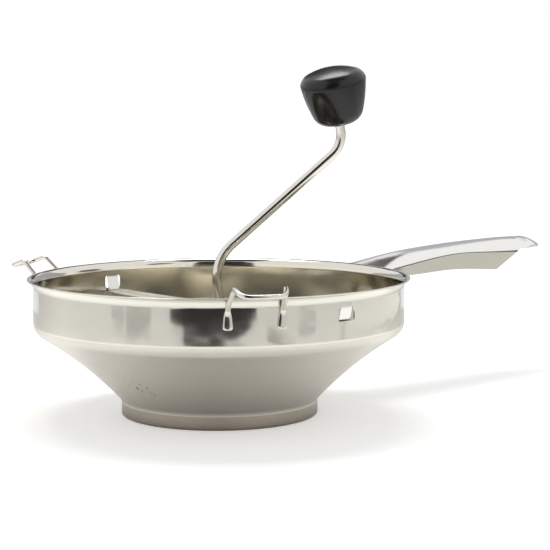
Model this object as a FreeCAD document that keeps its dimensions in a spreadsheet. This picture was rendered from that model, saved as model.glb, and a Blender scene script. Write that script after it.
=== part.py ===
"""Hand-cranked tomato strainer: a steel bowl with a sieve disc, a crossbar and a crank.

Millimetres. +Z is up and the origin is the centre of the foot ring, on the table.
The long handle points along +X and the crossbar lies along Y.
"""
import FreeCAD, Part
import Sketcher
import os
from math import radians, sin, sqrt, tan

SIZES = {
    # bowl, pressed from sheet
    "bowl_sheet": 0.8,
    "foot_radius": 62.0,
    "foot_height": 10.0,
    "foot_edge_bend": 1.5,
    "foot_crease_bend": 4.0,
    "flare_bow": 243.0,
    "wall_radius": 116.4,
    "shoulder_height": 54.5,
    "shoulder_bend": 8.0,
    "rim_height": 86.7,
    "flange_width": 3.6,
    "flange_bend": 1.5,
    "rim_bend": 2.1,
    "ledge_width": 5.0,
    # windows cut in the wall, with the tabs bent in from them
    "window_width": 13.0,
    "window_tall": 9.0,
    "window_below_rim": 8.0,
    "window_corner": 1.6,
    "tab_width": 9.5,
    "tab_root": 1.5,
    "tab_bend_in": 4.0,
    "tab_corner": 2.0,
    "bar_tab_gap": 0.3,
    # handle, a pressed channel welded to the wall
    "handle_sheet": 1.2,
    "handle_lean": 1.5,
    "root_out": -4.4,
    "root_above_rim": -3.3,
    "root_half": 22.2,
    "root_rise": 1.6,
    "root_skirt": 2.4,
    "neck_out": 33.6,
    "neck_above_rim": 4.2,
    "neck_half": 20.0,
    "neck_rise": 4.7,
    "neck_skirt": 7.8,
    "grip_out": 83.6,
    "grip_above_rim": 8.4,
    "grip_half": 17.6,
    "grip_rise": 4.8,
    "grip_skirt": 11.4,
    "tail_out": 128.6,
    "tail_above_rim": 9.9,
    "tail_half": 16.7,
    "tail_rise": 8.0,
    "tail_skirt": 13.0,
    "back_out": 159.6,
    "back_above_rim": 10.0,
    "back_half": 16.0,
    "back_rise": 9.8,
    "back_skirt": 13.0,
    "tip_out": 174.6,
    "tip_above_rim": 9.3,
    "tip_half": 16.0,
    "tip_rise": 9.8,
    "tip_skirt": 13.0,
    "curl_out": 187.6,
    "curl_above_rim": 3.5,
    "curl_half": 16.0,
    "curl_rise": 9.6,
    "curl_skirt": 13.0,
    "skirt_end_out": 123.6,
    "skirt_end_below_rim": 11.7,
    "tongue_out": 155.0,
    "tongue_above_rim": 2.1,
    "tongue_half": 12.4,
    "tongue_round": 12.6,
    "tongue_nose_out": 175.8,
    "slot_out": 165.6,
    "slot_across": 22.0,
    "slot_along": 6.4,
    "slot_corner": 3.0,
    "weld_gap": 0.1,
    "pad_below_rim": 3.2,
    "pad_tall": 15.5,
    "pad_half_angle": 12.0,
    # pot hooks, bent from wire with flattened ends
    "hook_wire": 1.5,
    "hook_angle": 119.1,
    "hook_half": 15.8,
    "hook_crest_half": 14.4,
    "hook_run_half": 12.7,
    "hook_out": 20.9,
    "hook_run_above_rim": 3.0,
    "hook_crest_out": 10.4,
    "hook_crest_above_rim": 7.0,
    "hook_crest_bend": 4.0,
    "hook_corner_bend": 7.0,
    "hook_knee_out": 1.3,
    "hook_knee_below_rim": 2.3,
    "hook_knee_bend": 3.0,
    "hook_foot_below_rim": 7.7,
    "hook_foot_tall": 10.5,
    "hook_foot_bend": 4.0,
    "hook_taper_end": 0.8,
    "hook_foot_wide": 5.8,
    "hook_foot_thick": 1.5,
    # sieve disc
    "disc_edge_gap": 1.0,
    "disc_flat_inset": 0.5,
    "disc_sheet": 1.0,
    "disc_dome": 6.0,
    "disc_hole_radius": 1.5,
    "disc_first_ring": 15.0,
    "disc_ring_step": 7.0,
    # bearings and the spring stack
    "rod_radius": 3.0,
    "running_gap": 0.05,
    "disc_bush_radius": 6.0,
    "disc_bush_flange": 8.5,
    "disc_bush_lip": 0.9,
    "disc_bush_drop": 0.4,
    "hub_radius": 6.5,
    "hub_long": 19.9,
    "hub_gap": 0.1,
    "pin_radius": 1.5,
    "pin_above_hub_foot": 11.0,
    "pin_inset": 0.3,
    "washer_thick": 1.0,
    "spring_wire": 0.75,
    "spring_radius": 5.2,
    "spring_seat_radius": 8.0,
    "spring_cap_radius": 6.4,
    # crossbar
    "bar_below_rim": 18.5,
    "bar_sheet": 1.2,
    "bar_half_width": 8.0,
    "bar_end_gap": 0.8,
    "bar_lip": 2.0,
    "bar_lip_thick": 1.0,
    "bar_fold_deep": 3.0,
    "bar_fold_inset": 10.8,
    "bar_bead_half": 2.5,
    "bar_bead_deep": 0.5,
    "bar_bead_start": 18.0,
    "bar_bead_inset": 12.8,
    "bar_bush_radius": 5.0,
    "bar_bush_flange": 7.0,
    "bar_bush_lip": 0.8,
    "bar_washer": 0.8,
    "bar_washer_radius": 6.6,
    # scraper blade
    "blade_sheet": 1.2,
    "blade_gap": 0.4,
    "blade_rise": 18.0,
    "blade_edge_inset": 0.5,
    "blade_widening": 10.0,
    "blade_weld_gap": 0.15,
    # crank rod
    "crank_rest_angle": -39.1,
    "rod_bottom": 3.5,
    "kink_above_bar": 3.3,
    "kink_lean": 7.0,
    "kink_bend": 30.0,
    "elbow_above_bar": 28.6,
    "elbow_bend": 28.0,
    "arm_reach": 77.8,
    "arm_rise_angle": 41.6,
    "wrist_bend": 17.0,
    "spindle_lean_in": 10.0,
    "spindle_lean_side": 11.7,
    "spindle_to_knob": 14.2,
    # knob
    "knob_radius": 20.7,
    "knob_foot_radius": 13.3,
    "knob_tall": 26.5,
    "knob_side_bow": 100.0,
    "knob_foot_bend": 5.0,
    "knob_recess_radius": 5.4,
    "knob_recess_deep": 2.4,
    "knob_well_radius": 9.0,
    "knob_floor": 16.0,
    "cap_tall": 10.0,
    "cap_crown_radius": 15.5,
    "cap_crown_drop": 3.1,
    "cap_crown_bow": 40.3,
    "cap_shoulder_bow": 8.0,
    "cap_edge": 0.5,
    "cap_plug_long": 3.0,
    "cap_plug_gap": 0.05,
    "cap_plug_wall": 1.5,
    "rod_end_above_floor": 4.5,
    "ring_thick": 0.9,
    "thrust_gap": 0.1,
    "ring_radius": 4.9,
    "retainer_radius": 6.0,
}

FULL_TURN = 360.0
DISC_RING_HOLES = (12, 18, 24, 30, 36, 42)
HANDLE_STATIONS = ("root", "neck", "grip", "tail", "back", "tip", "curl")
BLADE_SECTIONS = 5
SPRING_TURNS = 7

doc = FreeCAD.newDocument("tomato_strainer")
sheet = doc.addObject("Spreadsheet::Sheet", "sizes")


class Dim:
    """A size that carries its number and the expression that gives it from the sheet."""

    def __init__(self, value, text):
        self.value = value
        self.text = text

    def __add__(self, other):
        other = dim(other)
        return Dim(self.value + other.value, f"({self.text} + {other.text})")

    def __sub__(self, other):
        other = dim(other)
        return Dim(self.value - other.value, f"({self.text} - {other.text})")

    def __mul__(self, other):
        other = dim(other)
        return Dim(self.value * other.value, f"({self.text} * {other.text})")

    def __truediv__(self, other):
        other = dim(other)
        return Dim(self.value / other.value, f"({self.text} / {other.text})")

    def __neg__(self):
        return Dim(-self.value, f"(0 - {self.text})")


def dim(number):
    """A plain number as a size, or a size as it is."""
    return number if isinstance(number, Dim) else Dim(float(number), repr(float(number)))


def fill_sheet():
    """Write every driving size to its own cell, with its name as the cell's alias."""
    for row, (name, number) in enumerate(SIZES.items(), start=1):
        sheet.set(f"A{row}", name)
        sheet.set(f"B{row}", str(number))
        sheet.setAlias(f"B{row}", name)
    doc.recompute()


class Sizes:
    """Every driving size by name, read from the sheet, such as s.foot_radius."""

    def __getattr__(self, name):
        return Dim(float(sheet.get(name)), f"sizes.{name}")


fill_sheet()
s = Sizes()
flange_radius = s.wall_radius + s.flange_width
ledge_radius = s.foot_radius - s.ledge_width
disc_radius = s.foot_radius - s.bowl_sheet - s.disc_edge_gap
disc_flat_radius = ledge_radius - s.disc_flat_inset
rod_bore = s.rod_radius + s.running_gap
disc_bore = s.disc_bush_radius + s.running_gap
disc_bush_top = s.bowl_sheet + s.disc_dome + s.disc_sheet + s.disc_bush_lip
hub_foot = disc_bush_top + s.hub_gap
hub_head = hub_foot + s.hub_long
pin_height = hub_foot + s.pin_above_hub_foot
seat_foot = hub_head + s.running_gap
spring_foot = seat_foot + s.washer_thick + s.running_gap
bar_top = s.rim_height - s.bar_below_rim
bar_end = s.wall_radius - s.bowl_sheet - s.bar_end_gap
bar_under = bar_top - s.bar_sheet
bush_foot = bar_under - s.bar_washer - s.bar_bush_lip
cap_head = bush_foot - s.running_gap
spring_head = cap_head - s.washer_thick - s.running_gap


# ---- sketch and feature helpers


def new_body(name):
    body = doc.addObject("PartDesign::Body", name)
    body.Label = name
    return body


def plane(body, role):
    return next(part for part in body.Origin.OriginFeatures if part.Role == role)


def new_sketch(body, name, role, lift=None, turn=None):
    """An empty sketch on an origin plane, lifted off it by lift or turned about Z by turn."""
    sketch = body.newObject("Sketcher::SketchObject", name)
    sketch.AttachmentSupport = [(plane(body, role), "")]
    sketch.MapMode = "FlatFace"
    if lift is not None:
        sketch.AttachmentOffset = FreeCAD.Placement(FreeCAD.Vector(0, 0, lift.value), FreeCAD.Rotation())
        sketch.setExpression("AttachmentOffset.Base.z", lift.text)
    if turn is not None:
        about = FreeCAD.Rotation(FreeCAD.Vector(0, 1, 0), turn)
        sketch.AttachmentOffset = FreeCAD.Placement(FreeCAD.Vector(), about)
    return sketch


def bind(sketch, kind, where, amount, name):
    """Add one dimension to a sketch and tie it to the sheet."""
    index = sketch.addConstraint(Sketcher.Constraint(kind, *where, amount.value))
    sketch.renameConstraint(index, name)
    sketch.setExpression(f"Constraints.{name}", amount.text)


def bowed_edge(start, end, radius, side):
    """The arc from start to end that bows to its left (side 1) or right (side -1)."""
    chord = end - start
    half = chord.Length / 2
    sagitta = radius - sqrt(max(radius * radius - half * half, 0.0))
    normal = FreeCAD.Vector(-chord.y, chord.x, 0).normalize()
    return Part.Arc(start, (start + end) * 0.5 + normal * side * sagitta, end)


def draw_outline(sketch, corners, bows=None):
    """Draw a closed outline through corners; bows gives (radius, side) for an edge's number."""
    bows = bows or {}
    first = sketch.GeometryCount
    spots = [FreeCAD.Vector(dim(x).value, dim(y).value, 0) for x, y in corners]
    count = len(spots)
    starts, ends = [], []
    for index, start in enumerate(spots):
        end = spots[(index + 1) % count]
        edge = Part.LineSegment(start, end)
        if index in bows:
            edge = bowed_edge(start, end, bows[index][0].value, bows[index][1])
        number = sketch.addGeometry(edge, False)
        forward = (sketch.getPoint(number, 1) - start).Length < 1e-6
        starts.append((number, 1 if forward else 2))
        ends.append((number, 2 if forward else 1))
    for index in range(count):
        sketch.addConstraint(Sketcher.Constraint("Coincident", *ends[index - 1], *starts[index]))
    for index, (x, y) in enumerate(corners):
        tag = first + index
        bind(sketch, "DistanceX", (-1, 1) + starts[index], dim(x), f"x{tag}")
        bind(sketch, "DistanceY", (-1, 1) + starts[index], dim(y), f"y{tag}")
    for index, (radius, side) in bows.items():
        bind(sketch, "Radius", (first + index,), radius, f"bow{first + index}")


def draw_circle(sketch, x, y, radius):
    centre = FreeCAD.Vector(dim(x).value, dim(y).value, 0)
    number = sketch.addGeometry(Part.Circle(centre, FreeCAD.Vector(0, 0, 1), radius.value), False)
    bind(sketch, "DistanceX", (-1, 1, number, 3), dim(x), f"x{number}")
    bind(sketch, "DistanceY", (-1, 1, number, 3), dim(y), f"y{number}")
    bind(sketch, "Radius", (number,), radius, f"radius{number}")


def rounded(left, low, right, high, corner):
    """Corners and bows of a rectangle with rounded corners."""
    corners = [
        (left + corner, low), (right - corner, low), (right, low + corner), (right, high - corner),
        (right - corner, high), (left + corner, high), (left, high - corner), (left, low + corner),
    ]
    return corners, {edge: (corner, -1) for edge in (1, 3, 5, 7)}


def revolve(body, name, corners, bows=None, groove=False):
    """Turn an outline in the XZ plane a full turn about Z, as metal added or cut."""
    sketch = new_sketch(body, f"{name}_outline", "XZ_Plane")
    draw_outline(sketch, corners, bows)
    feature = body.newObject("PartDesign::Groove" if groove else "PartDesign::Revolution", name)
    feature.Profile = sketch
    feature.ReferenceAxis = (sketch, ["V_Axis"])
    feature.Angle = FULL_TURN
    sketch.Visibility = False
    doc.recompute()
    return feature


def pad(body, name, sketch, length, symmetric=False, reverse=False):
    feature = body.newObject("PartDesign::Pad", name)
    feature.Profile = sketch
    feature.Length = length.value
    feature.setExpression("Length", length.text)
    if symmetric:
        feature.SideType = "Symmetric"
    feature.Reversed = reverse
    sketch.Visibility = False
    doc.recompute()
    return feature


def cut_through(body, name, sketch):
    """Cut a sketch right through the body, both ways from its plane."""
    before = body.Shape.Volume
    feature = body.newObject("PartDesign::Pocket", name)
    feature.Profile = sketch
    feature.SideType = "Symmetric"
    feature.Type = "ThroughAll"
    sketch.Visibility = False
    doc.recompute()
    if body.Shape.Volume >= before:
        raise ValueError(f"{name} cuts nothing")
    return feature


def cut_down(body, name, sketch, deep):
    """Cut a sketch down from its plane by a set depth."""
    before = body.Shape.Volume
    feature = body.newObject("PartDesign::Pocket", name)
    feature.Profile = sketch
    feature.Length = deep.value
    feature.setExpression("Length", deep.text)
    sketch.Visibility = False
    doc.recompute()
    if body.Shape.Volume >= before:
        raise ValueError(f"{name} cuts nothing")
    return feature


def fillet(body, name, edges, radius):
    base = body.Tip
    feature = body.newObject("PartDesign::Fillet", name)
    feature.Base = (base, edges)
    feature.Radius = radius.value
    feature.setExpression("Radius", radius.text)
    doc.recompute()
    return feature


def ring_edges(body, radius, height):
    """Names of the round edges about Z with this radius and height."""
    names = []
    for index, edge in enumerate(body.Shape.Edges, start=1):
        curve = edge.Curve
        if not isinstance(curve, Part.Circle):
            continue
        if abs(curve.Radius - radius.value) < 1e-3 and abs(curve.Center.z - height.value) < 1e-3:
            names.append(f"Edge{index}")
    if not names:
        raise ValueError(f"no ring edge at radius {radius.value}, height {height.value}")
    return names


def mirror(body, name, feature, role):
    copy = body.newObject("PartDesign::Mirrored", name)
    copy.Originals = [feature]
    copy.MirrorPlane = (plane(body, role), [""])
    body.Tip = copy
    doc.recompute()
    return copy


def ring(name, inner, outer, low, high):
    """A plain round washer, ring or bush."""
    body = new_body(name)
    revolve(body, f"{name}_turn", [(inner, low), (outer, low), (outer, high), (inner, high)])
    return body


# ---- the bowl


def make_bowl():
    body = new_body("bowl")
    revolve(
        body,
        "pressing",
        [
            (dim(0), dim(0)),
            (s.foot_radius, dim(0)),
            (s.foot_radius, s.foot_height),
            (s.wall_radius, s.shoulder_height),
            (s.wall_radius, s.rim_height),
            (dim(0), s.rim_height),
        ],
        {2: (s.flare_bow, 1)},
    )
    fillet(body, "foot_edge", ring_edges(body, s.foot_radius, dim(0)), s.foot_edge_bend)
    fillet(body, "foot_crease", ring_edges(body, s.foot_radius, s.foot_height), s.foot_crease_bend)
    fillet(body, "shoulder", ring_edges(body, s.wall_radius, s.shoulder_height), s.shoulder_bend)
    hollow_bowl(body)
    turn_out_rim(body)
    open_foot(body)
    cut_windows(body)
    return body


def hollow_bowl(body):
    """Shell the pressing to sheet metal, open at the top."""
    base = body.Tip
    top = next(
        f"Face{index}"
        for index, face in enumerate(base.Shape.Faces, start=1)
        if face.BoundBox.ZMin > s.rim_height.value - 1e-3
    )
    feature = body.newObject("PartDesign::Thickness", "hollow")
    feature.Base = (base, [top])
    feature.Value = s.bowl_sheet.value
    feature.setExpression("Value", s.bowl_sheet.text)
    feature.Mode = "Skin"
    feature.Join = "Intersection"
    feature.Reversed = True
    doc.recompute()


def turn_out_rim(body):
    """Add the flange round the rim, with the bend that turns into it."""
    inner = s.wall_radius - s.bowl_sheet
    under = s.rim_height - s.bowl_sheet
    high = s.rim_height
    corners = [(inner, under), (flange_radius, under), (flange_radius, high), (inner, high)]
    revolve(body, "flange", corners)
    fillet(body, "under_flange", ring_edges(body, s.wall_radius, under), s.flange_bend)
    fillet(body, "rim_roll", ring_edges(body, inner, s.rim_height), s.rim_bend)


def open_foot(body):
    """Open the foot, leaving a narrow ledge for the disc."""
    sketch = new_sketch(body, "foot_opening_ring", "XY_Plane")
    draw_circle(sketch, 0, 0, ledge_radius)
    cut_through(body, "foot_opening", sketch)


def cut_windows(body):
    """Cut the two windows and bend a tab inwards from the top of each."""
    half = s.window_width / 2
    high = s.rim_height - s.window_below_rim
    low = high - s.window_tall
    sketch = new_sketch(body, "window_outline", "XZ_Plane")
    draw_outline(sketch, *rounded(-half, low, half, high, s.window_corner))
    cut_through(body, "windows", sketch)
    tab_top = high + s.tab_root
    tab_tip = bar_top + s.bar_tab_gap
    sketch = new_sketch(body, "tab_outline", "YZ_Plane")
    draw_outline(
        sketch,
        [
            (s.wall_radius - s.bowl_sheet, tab_top),
            (s.wall_radius - s.bowl_sheet - s.tab_bend_in, tab_tip),
            (s.wall_radius - s.tab_bend_in, tab_tip),
            (s.wall_radius - s.bowl_sheet / 2, tab_top),
        ],
    )
    tab = pad(body, "tab", sketch, s.tab_width, symmetric=True)
    mirror(body, "tabs", tab, "XZ_Plane")
    half_tab = s.tab_width.value / 2
    corners = [
        f"Edge{index}"
        for index, edge in enumerate(body.Shape.Edges, start=1)
        if abs(edge.BoundBox.ZMax - tab_tip.value) < 1e-3
        and abs(edge.BoundBox.ZMin - tab_tip.value) < 1e-3
        and edge.BoundBox.XLength < 1e-3
        and abs(abs(edge.BoundBox.XMin) - half_tab) < 1e-3
    ]
    fillet(body, "tab_rounding", corners, s.tab_corner)


# ---- the handle


def channel_corners(station):
    """Outline of the folded channel across the handle at one station, in Y and Z."""
    half = getattr(s, f"{station}_half")
    rise = getattr(s, f"{station}_rise")
    fold = s.rim_height + getattr(s, f"{station}_above_rim") - rise
    low = fold - getattr(s, f"{station}_skirt")
    inner_half = half - s.handle_sheet
    corners = [
        (-half - s.handle_lean, low),
        (-half, fold),
        (half, fold),
        (half + s.handle_lean, low),
        (half + s.handle_lean - s.handle_sheet, low),
        (inner_half, fold - s.handle_sheet),
        (-inner_half, fold - s.handle_sheet),
        (-half - s.handle_lean + s.handle_sheet, low),
    ]
    outer_bow = (half * half + rise * rise) / (rise * 2)
    inner_bow = (inner_half * inner_half + rise * rise) / (rise * 2)
    return corners, {1: (outer_bow, 1), 5: (inner_bow, -1)}


def make_handle():
    body = new_body("handle")
    sections = []
    for station in HANDLE_STATIONS:
        reach = s.wall_radius + getattr(s, f"{station}_out")
        sketch = new_sketch(body, f"{station}_section", "YZ_Plane", lift=reach)
        draw_outline(sketch, *channel_corners(station))
        sketch.Visibility = False
        sections.append(sketch)
    doc.recompute()
    loft = body.newObject("PartDesign::AdditiveLoft", "channel")
    loft.Profile = sections[0]
    loft.Sections = sections[1:]
    loft.Ruled = False
    doc.recompute()
    add_weld_pad(body)
    seat = new_sketch(body, "wall_seat", "XY_Plane")
    draw_circle(seat, 0, 0, s.wall_radius + s.weld_gap)
    cut_through(body, "seat_on_wall", seat)
    cut_skirt_end(body)
    cut_tongue(body)
    return body


def add_weld_pad(body):
    """The root is spread into a curved pad that is welded to the wall."""
    inner = s.wall_radius + s.weld_gap
    outer = inner + s.handle_sheet
    high = s.rim_height - s.pad_below_rim
    low = high - s.pad_tall
    sketch = new_sketch(body, "weld_pad_section", "XZ_Plane")
    draw_outline(sketch, [(inner, low), (outer, low), (outer, high), (inner, high)])
    feature = body.newObject("PartDesign::Revolution", "weld_pad")
    feature.Profile = sketch
    feature.ReferenceAxis = (sketch, ["V_Axis"])
    feature.Midplane = True
    feature.Angle = s.pad_half_angle.value * 2
    feature.setExpression("Angle", (s.pad_half_angle * 2).text)
    sketch.Visibility = False
    doc.recompute()


def cut_skirt_end(body):
    """Cut both skirts off on a slant, so that only the crown runs on to the tip."""
    beyond = s.wall_radius + s.curl_out + s.tongue_half
    skirt_reach = s.wall_radius + s.skirt_end_out
    skirt_low = s.rim_height - s.skirt_end_below_rim
    tongue_reach = s.wall_radius + s.tongue_out
    tongue_low = s.rim_height + s.tongue_above_rim
    beneath = skirt_low - s.tail_skirt * 2
    sketch = new_sketch(body, "skirt_end_outline", "XZ_Plane")
    draw_outline(
        sketch,
        [
            (skirt_reach, skirt_low),
            (skirt_reach, beneath),
            (beyond, beneath),
            (beyond, tongue_low),
            (tongue_reach, tongue_low),
        ],
    )
    cut_through(body, "skirt_end", sketch)


def cut_tongue(body):
    """Round the tip in plan and cut the slot across it that it hangs by."""
    beyond = s.wall_radius + s.curl_out + s.tongue_half
    aside = s.tip_half * 2
    start = s.wall_radius + s.tongue_out
    nose = s.wall_radius + s.tongue_nose_out
    edge = s.tip_half
    sketch = new_sketch(body, "tongue_outline", "XY_Plane")
    draw_outline(
        sketch,
        [
            (start, aside),
            (start, edge),
            (nose, s.tongue_half),
            (nose, -s.tongue_half),
            (start, -edge),
            (start, -aside),
            (beyond, -aside),
            (beyond, aside),
        ],
        {2: (s.tongue_round, 1)},
    )
    cut_through(body, "tongue", sketch)
    half = s.slot_across / 2
    middle = s.wall_radius + s.slot_out
    first = middle - s.slot_along / 2
    last = middle + s.slot_along / 2
    sketch = new_sketch(body, "slot_outline", "XY_Plane")
    draw_outline(sketch, *rounded(first, -half, last, half, s.slot_corner))
    cut_through(body, "hanging_slot", sketch)


# ---- bent wire


def bent_path(points, bends):
    """Straight runs between points, joined by tangent arcs of the given radii."""
    edges = []
    start = points[0]
    for before, corner, after, radius in zip(points, points[1:], points[2:], bends):
        back = (before - corner).normalize()
        ahead = (after - corner).normalize()
        turn = back.getAngle(ahead)
        reach = radius / tan(turn / 2)
        into, out = corner + back * reach, corner + ahead * reach
        middle_way = (back + ahead).normalize()
        middle = corner + middle_way * (radius / sin(turn / 2) - radius)
        edges.append(Part.LineSegment(start, into).toShape())
        edges.append(Part.Arc(into, middle, out).toShape())
        start = out
    edges.append(Part.LineSegment(start, points[-1]).toShape())
    return Part.Wire(edges)


def sweep_round(path, radius):
    """A round wire along a path."""
    start = path.Edges[0]
    first = start.FirstParameter
    circle = Part.Circle(start.valueAt(first), start.tangentAt(first), radius)
    profile = Part.Wire(circle.toShape())
    return path.makePipeShell([profile], True, True)


def make_hook(name, angle):
    """A wire loop outside the rim that rests on the edge of a pot."""
    side = s.hook_half.value
    wire = s.hook_wire.value
    wall = s.wall_radius.value + s.weld_gap.value
    foot_reach = sqrt((wall + s.hook_foot_thick.value / 2) ** 2 - side**2)
    foot_high = s.rim_height - s.hook_foot_below_rim
    crest_reach = flange_radius + s.hook_crest_out
    half_path = [
        (dim(foot_reach), s.hook_half, foot_high - s.hook_foot_wide),
        (dim(foot_reach), s.hook_half, foot_high),
        (flange_radius + s.hook_knee_out, s.hook_half, s.rim_height - s.hook_knee_below_rim),
        (crest_reach, s.hook_crest_half, s.rim_height + s.hook_crest_above_rim),
        (flange_radius + s.hook_out, s.hook_run_half, s.rim_height + s.hook_run_above_rim),
    ]
    points = [FreeCAD.Vector(x.value, y.value, z.value) for x, y, z in half_path]
    points += [FreeCAD.Vector(point.x, -point.y, point.z) for point in reversed(points)]
    bends = [
        s.hook_foot_bend.value,
        s.hook_knee_bend.value,
        s.hook_crest_bend.value,
        s.hook_corner_bend.value,
    ]
    loop = sweep_round(bent_path(points, bends + bends[::-1]), wire)
    high = foot_high.value
    low = high - s.hook_foot_tall.value
    pieces = []
    for leg in (points[0], points[-1]):
        pieces.append(hook_foot(leg.y, wall, high, low))
        taper = leg.z - low - s.hook_foot_wide.value / 2
        down = FreeCAD.Vector(0, 0, -1)
        pieces.append(Part.makeCone(wire, s.hook_taper_end.value, taper, leg, down))
    bowl_side = Part.makeCylinder(wall, s.rim_height.value)
    hook = doc.addObject("Part::Feature", name)
    hook.Label = name
    hook.Shape = loop.fuse(pieces).cut(bowl_side).removeSplitter()
    hook.Placement = FreeCAD.Placement(
        FreeCAD.Vector(), FreeCAD.Rotation(FreeCAD.Vector(0, 0, 1), angle)
    )
    return hook


def hook_foot(side, wall, high, low):
    """The flattened end of the wire, curved to lie on the wall and rounded at both ends."""
    wide = s.hook_foot_wide.value
    outer = wall + s.hook_foot_thick.value
    tall = s.rim_height.value
    head_height = high - wide / 2
    foot_height = low + wide / 2
    start = wall - wide
    deep = outer - start
    ahead = FreeCAD.Vector(1, 0, 0)
    corner = FreeCAD.Vector(start, side - wide / 2, foot_height)
    plate = Part.makeBox(deep, wide, head_height - foot_height, corner)
    foot = Part.makeCylinder(wide / 2, deep, FreeCAD.Vector(start, side, foot_height), ahead)
    head = Part.makeCylinder(wide / 2, deep, FreeCAD.Vector(start, side, head_height), ahead)
    shell = Part.makeCylinder(outer, tall).cut(Part.makeCylinder(wall, tall))
    return plate.fuse([foot, head]).common(shell)


# ---- sieve disc and its bush


def make_disc():
    """A shallow cone of sheet with a flat rim, punched with rings of holes."""
    body = new_body("sieve_disc")
    low = s.bowl_sheet
    high = low + s.disc_sheet
    top = low + s.disc_dome
    revolve(
        body,
        "disc_pressing",
        [
            (disc_bore, top),
            (disc_flat_radius, low),
            (disc_radius, low),
            (disc_radius, high),
            (disc_flat_radius, high),
            (disc_bore, top + s.disc_sheet),
        ],
    )
    for index, holes in enumerate(DISC_RING_HOLES):
        sketch = new_sketch(body, f"ring_hole_{index}", "XY_Plane")
        draw_circle(sketch, s.disc_first_ring + s.disc_ring_step * index, 0, s.disc_hole_radius)
        hole = cut_through(body, f"hole_{index}", sketch)
        pattern = body.newObject("PartDesign::PolarPattern", f"ring_{index}")
        pattern.Originals = [hole]
        pattern.Axis = (plane(body, "Z_Axis"), [""])
        pattern.Angle = FULL_TURN
        pattern.Occurrences = holes
        body.Tip = pattern
        doc.recompute()
    return body


def make_disc_bush():
    """A flanged eyelet in the middle of the disc that guides the end of the crank rod."""
    body = new_body("disc_bush")
    under = s.bowl_sheet + s.disc_dome - s.disc_bush_drop
    revolve(
        body,
        "eyelet",
        [
            (rod_bore, under - s.disc_bush_lip),
            (s.disc_bush_flange, under - s.disc_bush_lip),
            (s.disc_bush_flange, under),
            (s.disc_bush_radius, under),
            (s.disc_bush_radius, disc_bush_top),
            (rod_bore, disc_bush_top),
        ],
    )
    return body


# ---- crossbar and what it carries


def make_crossbar():
    body = new_body("crossbar")
    sketch = new_sketch(body, "bar_plan", "XY_Plane", lift=bar_under)
    draw_outline(
        sketch,
        [
            (-s.bar_half_width, -bar_end),
            (s.bar_half_width, -bar_end),
            (s.bar_half_width, bar_end),
            (-s.bar_half_width, bar_end),
        ],
    )
    pad(body, "bar", sketch, s.bar_sheet)
    add_bar_folds(body)
    add_bar_lips(body)
    press_bar_beads(body)
    sketch = new_sketch(body, "bush_hole_ring", "XY_Plane")
    draw_circle(sketch, 0, 0, s.bar_bush_radius + s.running_gap)
    cut_through(body, "bush_hole", sketch)
    return body


def add_bar_folds(body):
    """The long edges are folded down, which stiffens the bar."""
    for side, name in ((1, "right_fold"), (-1, "left_fold")):
        sketch = new_sketch(body, f"{name}_plan", "XY_Plane", lift=bar_under)
        outer = s.bar_half_width * side
        inner = (s.bar_half_width - s.bar_sheet) * side
        end = bar_end - s.bar_fold_inset
        draw_outline(sketch, [(inner, -end), (outer, -end), (outer, end), (inner, end)])
        pad(body, name, sketch, s.bar_fold_deep, reverse=True)


def add_bar_lips(body):
    """Each end turns up behind its tab, so that the bar has to be pressed down to come free."""
    for side, name in ((1, "far_lip"), (-1, "near_lip")):
        sketch = new_sketch(body, f"{name}_plan", "XY_Plane", lift=bar_top)
        outer = bar_end * side
        inner = (bar_end - s.bar_lip_thick) * side
        half = s.tab_width / 2
        draw_outline(sketch, [(-half, inner), (half, inner), (half, outer), (-half, outer)])
        pad(body, name, sketch, s.bar_lip)


def press_bar_beads(body):
    for side, name in ((1, "far_bead"), (-1, "near_bead")):
        sketch = new_sketch(body, f"{name}_plan", "XY_Plane", lift=bar_top)
        first = s.bar_bead_start * side
        last = (bar_end - s.bar_bead_inset) * side
        half = s.bar_bead_half
        draw_outline(sketch, [(-half, first), (half, first), (half, last), (-half, last)])
        cut_down(body, name, sketch, s.bar_bead_deep)


def make_crossbar_bush():
    """The flanged bearing of the crank rod, riveted over below the bar."""
    body = new_body("crossbar_bush")
    rolled = bar_under - s.bar_washer
    revolve(
        body,
        "bearing",
        [
            (rod_bore, bush_foot),
            (s.bar_bush_radius + s.bar_bush_lip, bush_foot),
            (s.bar_bush_radius + s.bar_bush_lip, rolled),
            (s.bar_bush_radius, rolled),
            (s.bar_bush_radius, bar_top),
            (s.bar_bush_flange, bar_top),
            (s.bar_bush_flange, bar_top + s.bar_bush_lip),
            (rod_bore, bar_top + s.bar_bush_lip),
        ],
    )
    return body


def make_spring():
    """A round-wire compression spring, its ends cut square between the cap and the seat."""
    bottom = spring_foot.value
    top = spring_head.value
    wire, radius = s.spring_wire.value, s.spring_radius.value
    tall = top - bottom - wire * 2
    helix = Part.makeHelix(tall / SPRING_TURNS, tall, radius)
    start = FreeCAD.Vector(radius, 0, 0)
    profile = Part.Wire(Part.Circle(start, FreeCAD.Vector(0, 1, 0), wire).toShape())
    coil = Part.Wire(helix.Edges).makePipeShell([profile], True, True)
    spring = doc.addObject("Part::Feature", "spring")
    spring.Label = "spring"
    spring.Shape = coil
    spring.Placement = FreeCAD.Placement(FreeCAD.Vector(0, 0, bottom + wire), FreeCAD.Rotation())
    return spring


# ---- what turns with the crank


def turned(body):
    """Turn a body about Z to where the crank stands at rest."""
    body.Placement = FreeCAD.Placement(
        FreeCAD.Vector(), FreeCAD.Rotation(FreeCAD.Vector(0, 0, 1), s.crank_rest_angle.value)
    )
    return body


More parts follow.
